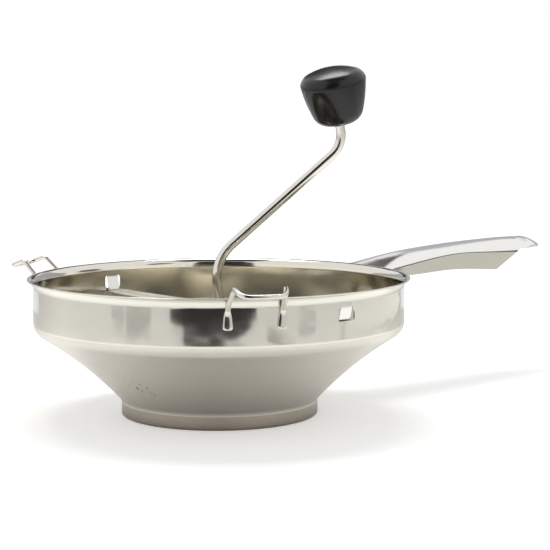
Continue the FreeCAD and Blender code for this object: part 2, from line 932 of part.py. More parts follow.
def make_blade():
    """Half a turn of a shallow helicoid that climbs from the disc and presses the food down."""
    body = new_body("scraper_blade")
    inner = s.hub_radius + s.blade_weld_gap
    slope = s.disc_dome / (disc_flat_radius - disc_bore)
    cone_top = s.bowl_sheet + s.disc_sheet + s.blade_gap
    sections = []
    for index in range(BLADE_SECTIONS):
        share = index / (BLADE_SECTIONS - 1)
        outer = disc_flat_radius - s.blade_edge_inset + s.blade_widening * share
        lift = cone_top + s.blade_rise * share
        low_inner = lift + slope * (disc_flat_radius - inner)
        low_outer = lift + slope * (disc_flat_radius - outer)
        sketch = new_sketch(body, f"blade_section_{index}", "XZ_Plane", turn=FULL_TURN / 2 * share)
        draw_outline(
            sketch,
            [
                (inner, low_inner),
                (outer, low_outer),
                (outer, low_outer + s.blade_sheet),
                (inner, low_inner + s.blade_sheet),
            ],
        )
        sketch.Visibility = False
        sections.append(sketch)
    doc.recompute()
    loft = body.newObject("PartDesign::AdditiveLoft", "wing")
    loft.Profile = sections[0]
    loft.Sections = sections[1:]
    loft.Ruled = False
    doc.recompute()
    return turned(body)


def make_hub():
    body = new_body("blade_hub")
    revolve(
        body,
        "sleeve",
        [(rod_bore, hub_foot), (s.hub_radius, hub_foot), (s.hub_radius, hub_head), (rod_bore, hub_head)],
    )
    sketch = new_sketch(body, "pin_hole_ring", "XZ_Plane")
    draw_circle(sketch, 0, pin_height, s.pin_radius + s.running_gap)
    cut_through(body, "pin_hole", sketch)
    return turned(body)


def make_pin():
    """The cross pin that fixes the hub to the rod."""
    body = new_body("hub_pin")
    sketch = new_sketch(body, "pin_section", "XZ_Plane")
    draw_circle(sketch, 0, pin_height, s.pin_radius)
    pad(body, "pin", sketch, (s.hub_radius - s.pin_inset) * 2, symmetric=True)
    return turned(body)


def spindle_way():
    """Direction of the knob's axis, with the crank in the XZ plane."""
    lean_in = tan(radians(s.spindle_lean_in.value))
    lean_side = tan(radians(s.spindle_lean_side.value))
    return FreeCAD.Vector(-lean_in, -lean_side, 1).normalize()


def wrist_point():
    """The corner where the arm's line meets the knob's axis."""
    elbow = elbow_point()
    run = s.arm_reach.value - elbow.x
    return FreeCAD.Vector(s.arm_reach.value, 0, elbow.z + run * tan(radians(s.arm_rise_angle.value)))


def elbow_point():
    climb = s.elbow_above_bar.value - s.kink_above_bar.value
    height = bar_top + s.elbow_above_bar
    return FreeCAD.Vector(-climb * tan(radians(s.kink_lean.value)), 0, height.value)


def make_rod():
    """One round rod: the upright shaft, a slight back lean, the arm, and the knob's spindle."""
    spindle = s.spindle_to_knob.value + s.knob_floor.value + s.rod_end_above_floor.value
    wrist = wrist_point()
    points = [
        FreeCAD.Vector(0, 0, s.rod_bottom.value),
        FreeCAD.Vector(0, 0, (bar_top + s.kink_above_bar).value),
        elbow_point(),
        wrist,
        wrist + spindle_way() * spindle,
    ]
    bends = [s.kink_bend.value, s.elbow_bend.value, s.wrist_bend.value]
    shape = sweep_round(bent_path(points, bends), s.rod_radius.value)
    reach = s.rod_radius.value * 2
    pin = Part.makeCylinder(
        s.pin_radius.value + s.running_gap.value,
        reach * 2,
        FreeCAD.Vector(0, -reach, pin_height.value),
        FreeCAD.Vector(0, 1, 0),
    )
    rod = doc.addObject("Part::Feature", "crank_rod")
    rod.Label = "crank_rod"
    rod.Shape = shape.cut(pin)
    turned(rod)
    return rod


# ---- the knob


def on_spindle(body):
    """Place a body made about Z on the knob's axis, its zero at the knob's foot."""
    way = spindle_way()
    spot = wrist_point() + way * s.spindle_to_knob.value
    tilt = FreeCAD.Placement(spot, FreeCAD.Rotation(FreeCAD.Vector(0, 0, 1), way))
    about = FreeCAD.Rotation(FreeCAD.Vector(0, 0, 1), s.crank_rest_angle.value)
    body.Placement = FreeCAD.Placement(FreeCAD.Vector(), about).multiply(tilt)
    return body


def make_knob_body():
    body = new_body("knob_body")
    revolve(
        body,
        "knob_moulding",
        [
            (rod_bore, s.knob_recess_deep),
            (s.knob_recess_radius, s.knob_recess_deep),
            (s.knob_recess_radius, dim(0)),
            (s.knob_foot_radius, dim(0)),
            (s.knob_radius, s.knob_tall),
            (s.knob_well_radius, s.knob_tall),
            (s.knob_well_radius, s.knob_floor),
            (rod_bore, s.knob_floor),
        ],
        {3: (s.knob_side_bow, -1)},
    )
    fillet(body, "knob_foot_rounding", ring_edges(body, s.knob_foot_radius, dim(0)), s.knob_foot_bend)
    return on_spindle(body)


def make_knob_cap():
    body = new_body("knob_cap")
    plug = s.knob_well_radius - s.cap_plug_gap
    crown = s.knob_tall + s.cap_tall
    shoulder = crown - s.cap_crown_drop
    revolve(
        body,
        "cap_moulding",
        [
            (dim(0), s.knob_tall + s.cap_plug_wall),
            (plug - s.cap_plug_wall, s.knob_tall + s.cap_plug_wall),
            (plug - s.cap_plug_wall, s.knob_tall - s.cap_plug_long),
            (plug, s.knob_tall - s.cap_plug_long),
            (plug, s.knob_tall),
            (s.knob_radius, s.knob_tall),
            (s.knob_radius, s.knob_tall + s.cap_edge),
            (s.cap_crown_radius, shoulder),
            (dim(0), crown),
        ],
        {6: (s.cap_shoulder_bow, -1), 7: (s.cap_crown_bow, -1)},
    )
    return on_spindle(body)


def check_and_write(parts):
    """Refuse a failed feature or a bad solid, then write one STEP file for each sub-part."""
    doc.recompute()
    for item in doc.Objects:
        bad = [state for state in item.State if state in ("Invalid", "Error")]
        if bad:
            raise ValueError(f"{item.Label} is {bad}")
    for part in parts:
        shape = part.Shape
        if shape.isNull() or not shape.isValid() or not shape.Solids:
            raise ValueError(f"{part.Label} has no valid solid")
    os.makedirs("parts", exist_ok=True)
    for part in parts:
        part.Shape.exportStep(f"parts/{part.Label}.step")
        box = part.Shape.BoundBox
        print(f"{part.Label:16} solids {len(part.Shape.Solids)} volume {part.Shape.Volume:10.1f}"
              f" z {box.ZMin:7.2f} {box.ZMax:7.2f}")


def make_bar_stack():
    """The washer below the bar and the two that hold the spring."""
    bar_washer_foot = bar_under - s.bar_washer
    bar_washer_bore = s.bar_bush_radius + s.running_gap
    cap_foot = cap_head - s.washer_thick
    seat_head = seat_foot + s.washer_thick
    return [
        ring("bush_washer", bar_washer_bore, s.bar_washer_radius, bar_washer_foot, bar_under),
        ring("spring_cap", rod_bore, s.spring_cap_radius, cap_foot, cap_head),
        ring("spring_seat", rod_bore, s.spring_seat_radius, seat_foot, seat_head),
    ]


def make_knob_rings():
    """The stop ring and the washer in the knob's recess, and the retainer under its cap."""
    washer_head = s.knob_recess_deep - s.thrust_gap
    washer_foot = washer_head - s.ring_thick
    stop_head = washer_foot - s.running_gap
    stop_foot = stop_head - s.ring_thick
    retainer_foot = s.knob_floor + s.thrust_gap
    retainer_head = retainer_foot + s.ring_thick
    rings = [
        ring("knob_stop_ring", rod_bore, s.ring_radius, stop_foot, stop_head),
        ring("knob_washer", rod_bore, s.ring_radius, washer_foot, washer_head),
        ring("knob_retainer", rod_bore, s.retainer_radius, retainer_foot, retainer_head),
    ]
    return [on_spindle(part) for part in rings]


def make_all():
    fixed = [
        make_bowl(),
        make_handle(),
        make_hook("left_pot_hook", s.hook_angle.value),
        make_hook("right_pot_hook", -s.hook_angle.value),
        make_disc(),
        make_disc_bush(),
    ]
    bar = [make_crossbar(), make_crossbar_bush(), *make_bar_stack(), make_spring()]
    crank = [make_rod(), make_hub(), make_pin(), make_blade(), *make_knob_rings()]
    knob = [make_knob_body(), make_knob_cap()]
    return fixed + bar + crank + knob


check_and_write(make_all())
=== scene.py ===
from math import asin, atan2, cos, degrees, hypot, pi, radians, sin, sqrt, tan

import bpy
from mathutils import Matrix, Vector


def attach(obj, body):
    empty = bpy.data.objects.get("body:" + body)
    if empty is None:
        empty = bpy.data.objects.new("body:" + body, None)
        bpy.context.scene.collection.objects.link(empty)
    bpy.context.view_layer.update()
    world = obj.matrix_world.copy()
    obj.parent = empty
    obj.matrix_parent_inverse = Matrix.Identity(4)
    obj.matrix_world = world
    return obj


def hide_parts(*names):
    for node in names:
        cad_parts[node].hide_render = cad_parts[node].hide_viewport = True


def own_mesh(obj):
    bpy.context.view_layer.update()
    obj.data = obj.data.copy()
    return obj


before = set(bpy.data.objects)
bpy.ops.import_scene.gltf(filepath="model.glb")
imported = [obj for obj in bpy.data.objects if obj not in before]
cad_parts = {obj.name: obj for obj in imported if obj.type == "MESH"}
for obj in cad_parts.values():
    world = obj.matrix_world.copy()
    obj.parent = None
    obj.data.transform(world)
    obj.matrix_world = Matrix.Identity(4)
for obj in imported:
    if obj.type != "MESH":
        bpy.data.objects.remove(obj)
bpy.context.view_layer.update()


# ---- The bowl
# One pressing of polished stainless sheet, 0.8 mm thick: a straight foot band, a satin flare, a bright
# wall and a turned-out rim. Two windows are cut near the rim, and a tab is bent inwards from each.

MM = 0.001


def raise_rings(name, rings, sides=256, closed=True):
    """Raise a round piece ring by ring from a circle; each ring is (radius, height) in millimetres."""
    bpy.ops.object.select_all(action="DESELECT")
    radius, height = rings[0]
    bpy.ops.mesh.primitive_circle_add(vertices=sides, radius=radius * MM, location=(0, 0, height * MM))
    piece = bpy.context.object
    piece.name = name
    bpy.ops.object.transform_apply(location=True)
    bpy.ops.object.mode_set(mode="EDIT")
    bpy.ops.mesh.select_all(action="SELECT")
    for wider, higher in rings[1:]:
        rise = (0, 0, (higher - height) * MM)
        bpy.ops.mesh.extrude_edges_move(TRANSFORM_OT_translate={"value": rise})
        bpy.ops.transform.resize(value=(wider / radius, wider / radius, 1), center_override=(0, 0, 0))
        radius, height = wider, higher
    bpy.ops.object.mode_set(mode="OBJECT")
    if closed:
        first, last = rings[0], rings[-1]
        pick_edges(piece, lambda spot: on_ring(spot, *first) or on_ring(spot, *last))
        bpy.ops.object.mode_set(mode="EDIT")
        bpy.ops.mesh.bridge_edge_loops()
        bpy.ops.object.mode_set(mode="OBJECT")
    return piece


def on_ring(spot, radius, height):
    return abs(hypot(spot.x, spot.y) - radius * MM) < 1e-6 and abs(spot.z - height * MM) < 1e-6


def pick_edges(piece, wanted):
    """Select the edges whose two ends are both wanted, and nothing else."""
    bpy.context.tool_settings.mesh_select_mode = (False, True, False)
    mesh = piece.data
    for part in (mesh.vertices, mesh.polygons, mesh.edges):
        part.foreach_set("select", [False] * len(part))
    for edge in mesh.edges:
        edge.select = all(wanted(mesh.vertices[end].co) for end in edge.vertices)


def round_edges(piece, wanted, width, segments):
    """Bevel the edges whose two ends are both wanted."""
    pick_edges(piece, wanted)
    bpy.ops.object.mode_set(mode="EDIT")
    bpy.ops.mesh.bevel(offset=width * MM, segments=segments, profile=0.5, affect="EDGES")
    bpy.ops.object.mode_set(mode="OBJECT")


def round_rings(piece, bends):
    """Bevel rings of a round piece: each bend is (radius, height, width, segments)."""
    for radius, height, width, segments in bends:
        round_edges(piece, lambda spot: on_ring(spot, radius, height), width, segments)


def pick_piece(piece):
    bpy.ops.object.select_all(action="DESELECT")
    piece.select_set(True)
    bpy.context.view_layer.objects.active = piece


def finish_mesh(piece, angle=35):
    """Merge doubles, turn every face outwards and smooth it, sharper than angle staying crisp."""
    pick_piece(piece)
    bpy.ops.object.mode_set(mode="EDIT")
    bpy.ops.mesh.select_all(action="SELECT")
    bpy.ops.mesh.remove_doubles(threshold=1e-6)
    bpy.ops.mesh.normals_make_consistent(inside=False)
    bpy.ops.object.mode_set(mode="OBJECT")
    bpy.ops.object.shade_smooth_by_angle(angle=radians(angle))


def prism(name, outline, axis, low, high):
    """Raise a flat outline, in millimetres, along an axis from low to high."""
    bpy.ops.object.select_all(action="DESELECT")
    bpy.ops.mesh.primitive_circle_add(vertices=len(outline), radius=1, fill_type="NGON")
    piece = bpy.context.object
    piece.name = name
    for vertex, (across, along) in zip(piece.data.vertices, outline):
        spot = {"X": (low, across, along), "Y": (across, low, along), "Z": (across, along, low)}[axis]
        vertex.co = Vector(spot) * MM
    rise = Vector([(high - low) * MM if axis == way else 0 for way in "XYZ"])
    bpy.ops.object.mode_set(mode="EDIT")
    bpy.ops.mesh.select_all(action="SELECT")
    bpy.ops.mesh.extrude_region_move(TRANSFORM_OT_translate={"value": rise})
    bpy.ops.mesh.select_all(action="SELECT")
    bpy.ops.mesh.normals_make_consistent(inside=False)
    bpy.ops.object.mode_set(mode="OBJECT")
    return piece


def arc(middle, radius, first, last, steps):
    """Points along an arc, with its ends given in degrees."""
    turns = [radians(first + (last - first) * step / steps) for step in range(steps + 1)]
    return [(middle[0] + radius * cos(turn), middle[1] + radius * sin(turn)) for turn in turns]


def rounded(left, low, right, high, low_bend, high_bend, steps=6):
    """Outline of a rectangle whose lower and upper corners have their own radii."""
    return [
        *arc((left + low_bend, low + low_bend), low_bend, 180, 270, steps),
        *arc((right - low_bend, low + low_bend), low_bend, 270, 360, steps),
        *arc((right - high_bend, high - high_bend), high_bend, 0, 90, steps),
        *arc((left + high_bend, high - high_bend), high_bend, 90, 180, steps),
    ]


def cut_out(piece, cutter):
    """Cut one mesh out of another, and throw the cutter away."""
    pick_piece(piece)
    cut = piece.modifiers.new("cut", "BOOLEAN")
    cut.operation = "DIFFERENCE"
    cut.solver = "EXACT"
    cut.object = cutter
    bpy.ops.object.modifier_apply(modifier=cut.name)
    pick_piece(cutter)
    bpy.ops.object.delete()


def join_to(piece, others):
    """Join pieces to the first one."""
    pick_piece(piece)
    for other in others:
        other.select_set(True)
    bpy.ops.object.join()


sheet = 0.8
foot_radius = 62.0
ledge_radius = 57.0
wall_radius = 116.4
rim_height = 86.7
flange_radius = 120.0
band_low, band_high = 2.0, 8.0
wall_low, wall_high = 59.5, 80.2
flare_bow = 243.0
flare_middle = (241.44, -153.86)
flare_steps = 9
rim_middle = 119.5
bend_low = 80.7
bend_steps = 12
window_high = rim_height - 8.0
window_low = window_high - 9.0
window_half = 6.1
window_margin = 0.6
window_low_bend, window_high_bend = 1.6, 2.8
window_chamfer = 0.3
chamfer_high = window_high - 1.0
pick_slack = 0.05


def flare_rings(bow, first, last, steps):
    """Rings along the bowed flare, between two radii."""
    radii = [first + (last - first) * step / steps for step in range(steps + 1)]
    return [(radius, flare_middle[1] + sqrt(bow**2 - (flare_middle[0] - radius) ** 2)) for radius in radii]


def rim_bend(deeper):
    """Rings of the turned-out rim, a quarter of an ellipse, on the outer face or deeper than it."""
    turns = [pi / 2 * step / bend_steps for step in range(bend_steps + 1)]
    wide, tall = rim_middle - wall_radius + deeper, rim_height - sheet - bend_low + deeper
    return [(rim_middle - wide * cos(turn), bend_low + tall * sin(turn)) for turn in turns]


outer_flare = flare_rings(flare_bow, foot_radius, wall_radius, flare_steps)
inner_flare = flare_rings(flare_bow + sheet, wall_radius - sheet, foot_radius - sheet, flare_steps)
bowl_rings = [
    (ledge_radius, 0),
    (foot_radius, 0),
    (foot_radius, band_low),
    (foot_radius, band_high),
    *outer_flare,
    (wall_radius, wall_low),
    (wall_radius, window_low - window_margin),
    (wall_radius, window_high + window_margin),
    (wall_radius, wall_high),
    *rim_bend(0),
    (flange_radius, rim_height - sheet),
    (flange_radius, rim_height),
    *reversed(rim_bend(sheet)),
    (wall_radius - sheet, wall_high),
    (wall_radius - sheet, window_high + window_margin),
    (wall_radius - sheet, window_low - window_margin),
    (wall_radius - sheet, wall_low),
    *inner_flare,
    (foot_radius - sheet, band_high),
    (foot_radius - sheet, band_low),
    (foot_radius - sheet, sheet),
    (ledge_radius, sheet),
]
bowl_bends = [  # radius, height, width of the bend, segments
    (foot_radius, 0, 1.5, 5),
    (*outer_flare[0], 1.55, 6),
    (*outer_flare[-1], 4.53, 8),
    (flange_radius, rim_height - sheet, 0.32, 3),
    (flange_radius, rim_height, 0.32, 3),
    (*inner_flare[0], 4.07, 8),
    (*inner_flare[-1], 1.86, 6),
    (foot_radius - sheet, sheet, 0.7, 3),
    (ledge_radius, 0, 0.2, 2),
    (ledge_radius, sheet, 0.2, 2),
]
bowl = raise_rings("bowl_shell", bowl_rings)
round_rings(bowl, bowl_bends)
window_outline = rounded(
    -window_half, window_low, window_half, window_high, window_low_bend, window_high_bend
)
cutter_end = flange_radius + 5.0
cut_out(bowl, prism("window_cutter", window_outline, "Y", -cutter_end, cutter_end))


def on_window(spot):
    """True on the outer edge of a window, below the bend of its tab."""
    low_part = window_low - pick_slack < spot.z / MM < chamfer_high
    outer_face = hypot(spot.x, spot.y) / MM > wall_radius - pick_slack
    return low_part and outer_face and abs(spot.x) / MM < window_half + pick_slack


pick_piece(bowl)
round_edges(bowl, on_window, window_chamfer, 1)

tab_sheet = 0.6
tab_half = 4.5
tab_head = window_high + 1.4
tab_tip = 68.6
tab_bend = 2.5
tab_slope = 0.255
tab_gap = 0.03
tab_low_bend, tab_high_bend = 2.0, 0.3
tab_steps = 16
edge_break = 0.12
tab_outline = rounded(-tab_half, tab_tip, tab_half, tab_head, tab_low_bend, tab_high_bend, steps=5)
tabs = []
for side in (1, -1):
    tab = prism("tab", tab_outline, "Y", -tab_sheet, 0)
    pick_piece(tab)
    bpy.ops.object.mode_set(mode="EDIT")
    for step in range(1, tab_steps):
        height = tab_tip + (tab_head - tab_tip) * step / tab_steps
        bpy.ops.mesh.select_all(action="SELECT")
        bpy.ops.mesh.bisect(plane_co=(0, 0, height * MM), plane_no=(0, 0, 1))
    bpy.ops.object.mode_set(mode="OBJECT")
    for vertex in tab.data.vertices:
        below = max(0.0, window_high - vertex.co.z / MM)
        bent = min(below, tab_bend)
        bend_in = tab_slope * (bent**2 / (2 * tab_bend) + below - bent)
        hinge = sqrt((wall_radius - tab_gap) ** 2 - (vertex.co.x / MM) ** 2)
        reach = hinge - bend_in + vertex.co.y / MM
        vertex.co.x *= side
        vertex.co.y = reach * side * MM
    round_edges(tab, lambda spot: True, edge_break, 1)
    tabs.append(tab)


def add_node(tree, kind, values=None, **settings):
    """Add a shader node; values go to its inputs, by name or number, and settings to the node."""
    fresh = tree.nodes.new(kind)
    for key, value in settings.items():
        setattr(fresh, key, value)
    for key, value in (values or {}).items():
        if isinstance(value, bpy.types.NodeSocket):
            tree.links.new(value, fresh.inputs[key])
        else:
            fresh.inputs[key].default_value = value
    return fresh


def noise(tree, place, scale, detail, roughness):
    """A cloudy pattern with values between 0 and 1."""
    values = {"Vector": place, "Scale": scale, "Detail": detail, "Roughness": roughness}
    return add_node(tree, "ShaderNodeTexNoise", values).outputs["Fac"]


def carried(tree, value, start, end, low, high):
    """A value carried over from the span start to end to the span low to high, and kept within it."""
    values = {"Value": value, "From Min": start, "From Max": end, "To Min": low, "To Max": high}
    return add_node(tree, "ShaderNodeMapRange", values).outputs[0]


def combined(tree, operation, first, second):
    """One value made from two, by adding, multiplying or the like."""
    return add_node(tree, "ShaderNodeMath", {0: first, 1: second}, operation=operation).outputs[0]


def blended(tree, share, first, second):
    """A colour between two others."""
    return add_node(tree, "ShaderNodeMix", {0: share, 6: first, 7: second}, data_type="RGBA").outputs[2]


def turned_lines(tree):
    """Coordinates in which a noise becomes lines that run round the Z axis, as turning leaves them."""
    fine, wide = 2500, 2.0
    place = add_node(tree, "ShaderNodeTexCoord").outputs["Object"]
    flat = add_node(tree, "ShaderNodeVectorMath", {0: place, 1: (1, 1, 0)}, operation="MULTIPLY").outputs[0]
    away = add_node(tree, "ShaderNodeVectorMath", {0: flat}, operation="LENGTH").outputs["Value"]
    height = add_node(tree, "ShaderNodeSeparateXYZ", {0: place}).outputs["Z"]
    stretched = combined(tree, "MULTIPLY", combined(tree, "ADD", away, height), fine)
    profile = add_node(tree, "ShaderNodeCombineXYZ", {2: stretched}).outputs[0]
    around = add_node(tree, "ShaderNodeVectorMath", {0: flat}, operation="NORMALIZE").outputs[0]
    slow = add_node(tree, "ShaderNodeVectorMath", {0: around, 3: wide}, operation="SCALE").outputs[0]
    return add_node(tree, "ShaderNodeVectorMath", {0: slow, 1: profile}, operation="ADD").outputs[0]


def drawn_lines(tree, scale=(40, 1500, 1500)):
    """Coordinates in which a noise becomes straight lines, as drawing or brushing leaves them."""
    place = add_node(tree, "ShaderNodeTexCoord").outputs["Object"]
    return add_node(tree, "ShaderNodeVectorMath", {0: place, 1: scale}, operation="MULTIPLY").outputs[0]


def steel_finish(name, light, dark, lines, rough, spread, relief, waves, smudge=0.06):
    """Stainless steel: fine lines, a slow change of tone, faint waves of the sheet, and rubbed patches."""
    material = bpy.data.materials.new(name)
    material.use_nodes = True
    tree = material.node_tree
    shader = tree.nodes["Principled BSDF"]
    shader.inputs["Metallic"].default_value = 1
    place = add_node(tree, "ShaderNodeTexCoord").outputs["Object"]
    line = noise(tree, lines(tree), 1.0, 5.0, 0.65)
    cloud = noise(tree, place, 28.0, 3.0, 0.5)
    tree.links.new(blended(tree, cloud, (*light, 1), (*dark, 1)), shader.inputs["Base Color"])
    even = carried(tree, line, 0.3, 0.7, rough - spread, rough + spread)
    rubbed = carried(tree, cloud, 0.5, 0.75, 0.0, smudge)
    tree.links.new(combined(tree, "ADD", even, rubbed), shader.inputs["Roughness"])
    slow = noise(tree, place, 30.0, 2.0, 0.55)
    wave = add_node(tree, "ShaderNodeBump", {"Strength": 1.0, "Distance": waves * MM, "Height": slow})
    fine = {"Strength": 1.0, "Distance": relief * MM, "Height": line, "Normal": wave.outputs[0]}
    tree.links.new(add_node(tree, "ShaderNodeBump", fine).outputs[0], shader.inputs["Normal"])
    return material


def scuff(material, spot, size, tone):
    """Rub a patch of small dark marks into a finish, round a spot given in metres."""
    tree = material.node_tree
    colour = tree.nodes["Principled BSDF"].inputs["Base Color"]
    place = add_node(tree, "ShaderNodeTexCoord").outputs["Object"]
    away = add_node(tree, "ShaderNodeVectorMath", {0: place, 1: spot}, operation="DISTANCE").outputs["Value"]
    inside = carried(tree, away, size * 0.3, size, 1.0, 0.0)
    strokes = carried(tree, noise(tree, place, 260.0, 3.0, 0.6), 0.57, 0.62, 0.0, 0.75)
    worn = combined(tree, "MULTIPLY", inside, strokes)
    clean = colour.links[0].from_socket
    tree.links.new(blended(tree, worn, clean, (*tone, 1)), colour)


bright_wall = steel_finish(
    "bright_wall", (0.74, 0.72, 0.65), (0.70, 0.68, 0.605), turned_lines,
    rough=0.095, spread=0.01, relief=0.00005, waves=0.45, smudge=0.03,
)
satin_flare = steel_finish(
    "satin_flare", (0.66, 0.632, 0.572), (0.62, 0.592, 0.532), turned_lines,
    rough=0.30, spread=0.03, relief=0.0005, waves=0.10,
)
# The inner wall's steel is lighter than the outer wall's: painted light on the inside of the bowl.
inner_bright_painted_light = steel_finish(
    "inner_bright_painted_light", (0.80, 0.76, 0.66), (0.75, 0.71, 0.60), turned_lines,
    rough=0.11, spread=0.02, relief=0.0001, waves=0.12,
)
# The inner flare's steel is darker than the outer flare's: painted shade inside the bowl.
inner_satin_painted_shade = steel_finish(
    "inner_satin_painted_shade", (0.52, 0.49, 0.42), (0.47, 0.44, 0.38), turned_lines,
    rough=0.30, spread=0.05, relief=0.0005, waves=0.10,
)
# The foot band's steel is much darker than the flare's: painted shade of the shadowed floor that it mirrors.
foot_satin_painted_shade = steel_finish(
    "foot_satin_painted_shade", (0.37, 0.33, 0.28), (0.33, 0.29, 0.25), turned_lines,
    rough=0.28, spread=0.03, relief=0.0005, waves=0.10,
)
tab_bright = steel_finish(
    "tab_bright", (0.76, 0.75, 0.71), (0.72, 0.71, 0.67), drawn_lines,
    rough=0.14, spread=0.02, relief=0.0002, waves=0.0,
)
scuff(satin_flare, spot=(-0.0770, -0.0205, 0.0275), size=0.013, tone=(0.16, 0.12, 0.08))
bowl_steels = [bright_wall, satin_flare, inner_bright_painted_light, inner_satin_painted_shade, foot_satin_painted_shade]
for material in bowl_steels:
    bowl.data.materials.append(material)
satin_high = 58.2
foot_high = 8.5
wall_middle = wall_radius - sheet / 2
near_wall = wall_radius - 5.0
finish_mesh(bowl)
# The foot band and the inner flare take the steels with painted shade, and the inner wall the steel with
# painted light.
for face in bowl.data.polygons:
    middle = face.center / MM
    away = hypot(middle.x, middle.y)
    outward = face.normal.x * middle.x + face.normal.y * middle.y > 0
    under = face.normal.z < -0.05 or outward
    inside = away < wall_middle and not (outward and away > near_wall)
    steel = bright_wall
    if outward and middle.z < foot_high:
        steel = foot_satin_painted_shade
    elif middle.z < satin_high and under:
        steel = satin_flare
    elif inside:
        steel = inner_satin_painted_shade if middle.z < satin_high else inner_bright_painted_light
    face.material_index = bowl_steels.index(steel)
for tab in tabs:
    tab.data.materials.append(tab_bright)
join_to(bowl, tabs)
finish_mesh(bowl)
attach(bowl, "frame")
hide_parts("bowl")


# ---- The handle
# A long channel pressed from 1.2 mm stainless sheet, domed on top, with both edges folded down. The skirts
# end on a slant, and the crown runs on to a rounded tip that curls down and has a slot across it. The root
# is spread against the wall and spot-welded to it through a curved pad.

handle_sheet = 1.2
skirt_lean = 1.5
handle_sections = [  # reach, crown, half width, rise of the crown, depth of the skirts
    (112.0, 83.4, 22.2, 1.6, 2.4),
    (150.0, 90.9, 20.0, 4.7, 7.8),
    (200.0, 95.1, 17.6, 4.8, 11.4),
    (245.0, 96.6, 16.7, 8.0, 13.0),
    (276.0, 96.7, 16.0, 9.8, 13.0),
    (291.0, 96.0, 16.0, 9.8, 13.0),
    (304.0, 90.2, 16.0, 9.6, 13.0),
]


def section_at(reach):
    """The section of the handle at any reach, on a smooth curve through the given ones."""
    last = len(handle_sections) - 2
    index = max(0, min(last, sum(1 for one in handle_sections[1:-1] if one[0] <= reach)))
    here, there = handle_sections[index], handle_sections[index + 1]
    run = there[0] - here[0]
    share = (reach - here[0]) / run
    result = []
    for column in range(1, 5):
        slope = (there[column] - here[column]) / run
        starts, ends = slope, slope
        if index > 0:
            before = handle_sections[index - 1]
            gap = here[0] - before[0]
            old = (here[column] - before[column]) / gap
            starts = (old * run + slope * gap) / (run + gap)
        if index < last:
            after = handle_sections[index + 2]
            gap = after[0] - there[0]
            new = (after[column] - there[column]) / gap
            ends = (slope * gap + new * run) / (run + gap)
        else:
            ends = 1.5 * slope - 0.5 * starts
        if index == 0:
            starts = 1.5 * slope - 0.5 * ends
        first = 2 * share**3 - 3 * share**2 + 1
        second = share**3 - 2 * share**2 + share
        third = share**3 - share**2
        result.append(
            first * here[column]
            + second * run * starts
            + (1 - first) * there[column]
            + third * run * ends
        )
    return result


handle_rows = 112
skirt_steps = 5
crown_steps = 22
handle_columns = 2 * skirt_steps + crown_steps
bpy.ops.object.select_all(action="DESELECT")
bpy.ops.mesh.primitive_grid_add(x_subdivisions=handle_rows, y_subdivisions=handle_columns, size=1)
handle = bpy.context.object
handle.name = "handle_channel"
seat_radius = wall_radius + 0.1
last_reach = handle_sections[-1][0]
for vertex in handle.data.vertices:
    row = round((vertex.co.x + 0.5) * handle_rows)
    column = round((vertex.co.y + 0.5) * handle_columns)
    reach = seat_radius + (last_reach - seat_radius) * row / handle_rows
    crown, half, rise, skirt = section_at(reach)
    fold = crown - rise
    side = -1 if column < handle_columns / 2 else 1
    from_edge = min(column, handle_columns - column)
    if from_edge < skirt_steps:
        share = 1 - from_edge / skirt_steps
        across, height = half + skirt_lean * share, fold - skirt * share
    else:
        bow = (half**2 + rise**2) / (2 * rise)
        swing = asin(half / bow) * abs(column - handle_columns / 2) / (crown_steps / 2)
        across, height = bow * sin(swing), crown - bow + bow * cos(swing)
    vertex.co = Vector((reach, across * side, height)) * MM


def on_fold(spot):
    """True on the two lines where the crown meets the skirts."""
    crown, half, rise = section_at(spot.x / MM)[:3]
    return abs(abs(spot.y) / MM - half) < 1e-3 and abs(spot.z / MM - crown + rise) < 1e-3


skirt_bend = 0.9
round_edges(handle, on_fold, skirt_bend, 3)
for vertex in handle.data.vertices:
    beyond = (last_reach - vertex.co.x / MM) / (last_reach - seat_radius)
    hollow = seat_radius - sqrt(seat_radius**2 - (vertex.co.y / MM) ** 2)
    vertex.co.x -= hollow * beyond**4 * MM
pick_piece(handle)
wall = handle.modifiers.new("wall", "SOLIDIFY")
wall.thickness = handle_sheet * MM
wall.offset = -1
bpy.ops.object.modifier_apply(modifier=wall.name)
skirt_end, past_tip = 240.0, 320.0
below_skirt, above_skirt = 60.0, 75.0
tongue_root, tongue_low = 271.4, 88.8
skirt_outline = [
    (skirt_end, above_skirt),
    (skirt_end, below_skirt),
    (past_tip, below_skirt),
    (past_tip, tongue_low),
    (tongue_root, tongue_low),
]
skirt_clear = 40
cut_out(handle, prism("skirt_cutter", skirt_outline, "Y", -skirt_clear, skirt_clear))
cutter_low, cutter_high, cutter_half = 70, 110, 34
nose, nose_radius, nose_turn = (289.96, 0.0), 12.6, 79.8
tongue_half = 16
tongue_outline = [
    (tongue_root, cutter_half),
    (tongue_root, tongue_half),
    *arc(nose, nose_radius, nose_turn, -nose_turn, 40),
    (tongue_root, -tongue_half),
    (tongue_root, -cutter_half),
    (past_tip, -cutter_half),
    (past_tip, cutter_half),
]
cut_out(handle, prism("tongue_cutter", tongue_outline, "Z", cutter_low, cutter_high))
slot_near, slot_far, slot_half, slot_bend = 278.8, 285.2, 11.0, 3.0
slot_outline = rounded(slot_near, -slot_half, slot_far, slot_half, slot_bend, slot_bend)
cut_out(handle, prism("slot_cutter", slot_outline, "Z", cutter_low, cutter_high))
pad_turn = 12.0
pad_low, pad_high = 68.0, 83.5
pad_bend = 2.5
pad_outline = [
    *arc((0, 0), seat_radius + handle_sheet, -pad_turn, pad_turn, 24),
    *arc((0, 0), seat_radius, pad_turn, -pad_turn, 24),
]
pad = prism("weld_pad", pad_outline, "Z", pad_low, pad_high)
pad_end = seat_radius * sin(radians(pad_turn)) - pick_slack


def on_pad_corner(spot):
    """True on the two upper corners of the weld pad."""
    return abs(spot.y) / MM > pad_end and spot.z / MM > pad_high - pick_slack


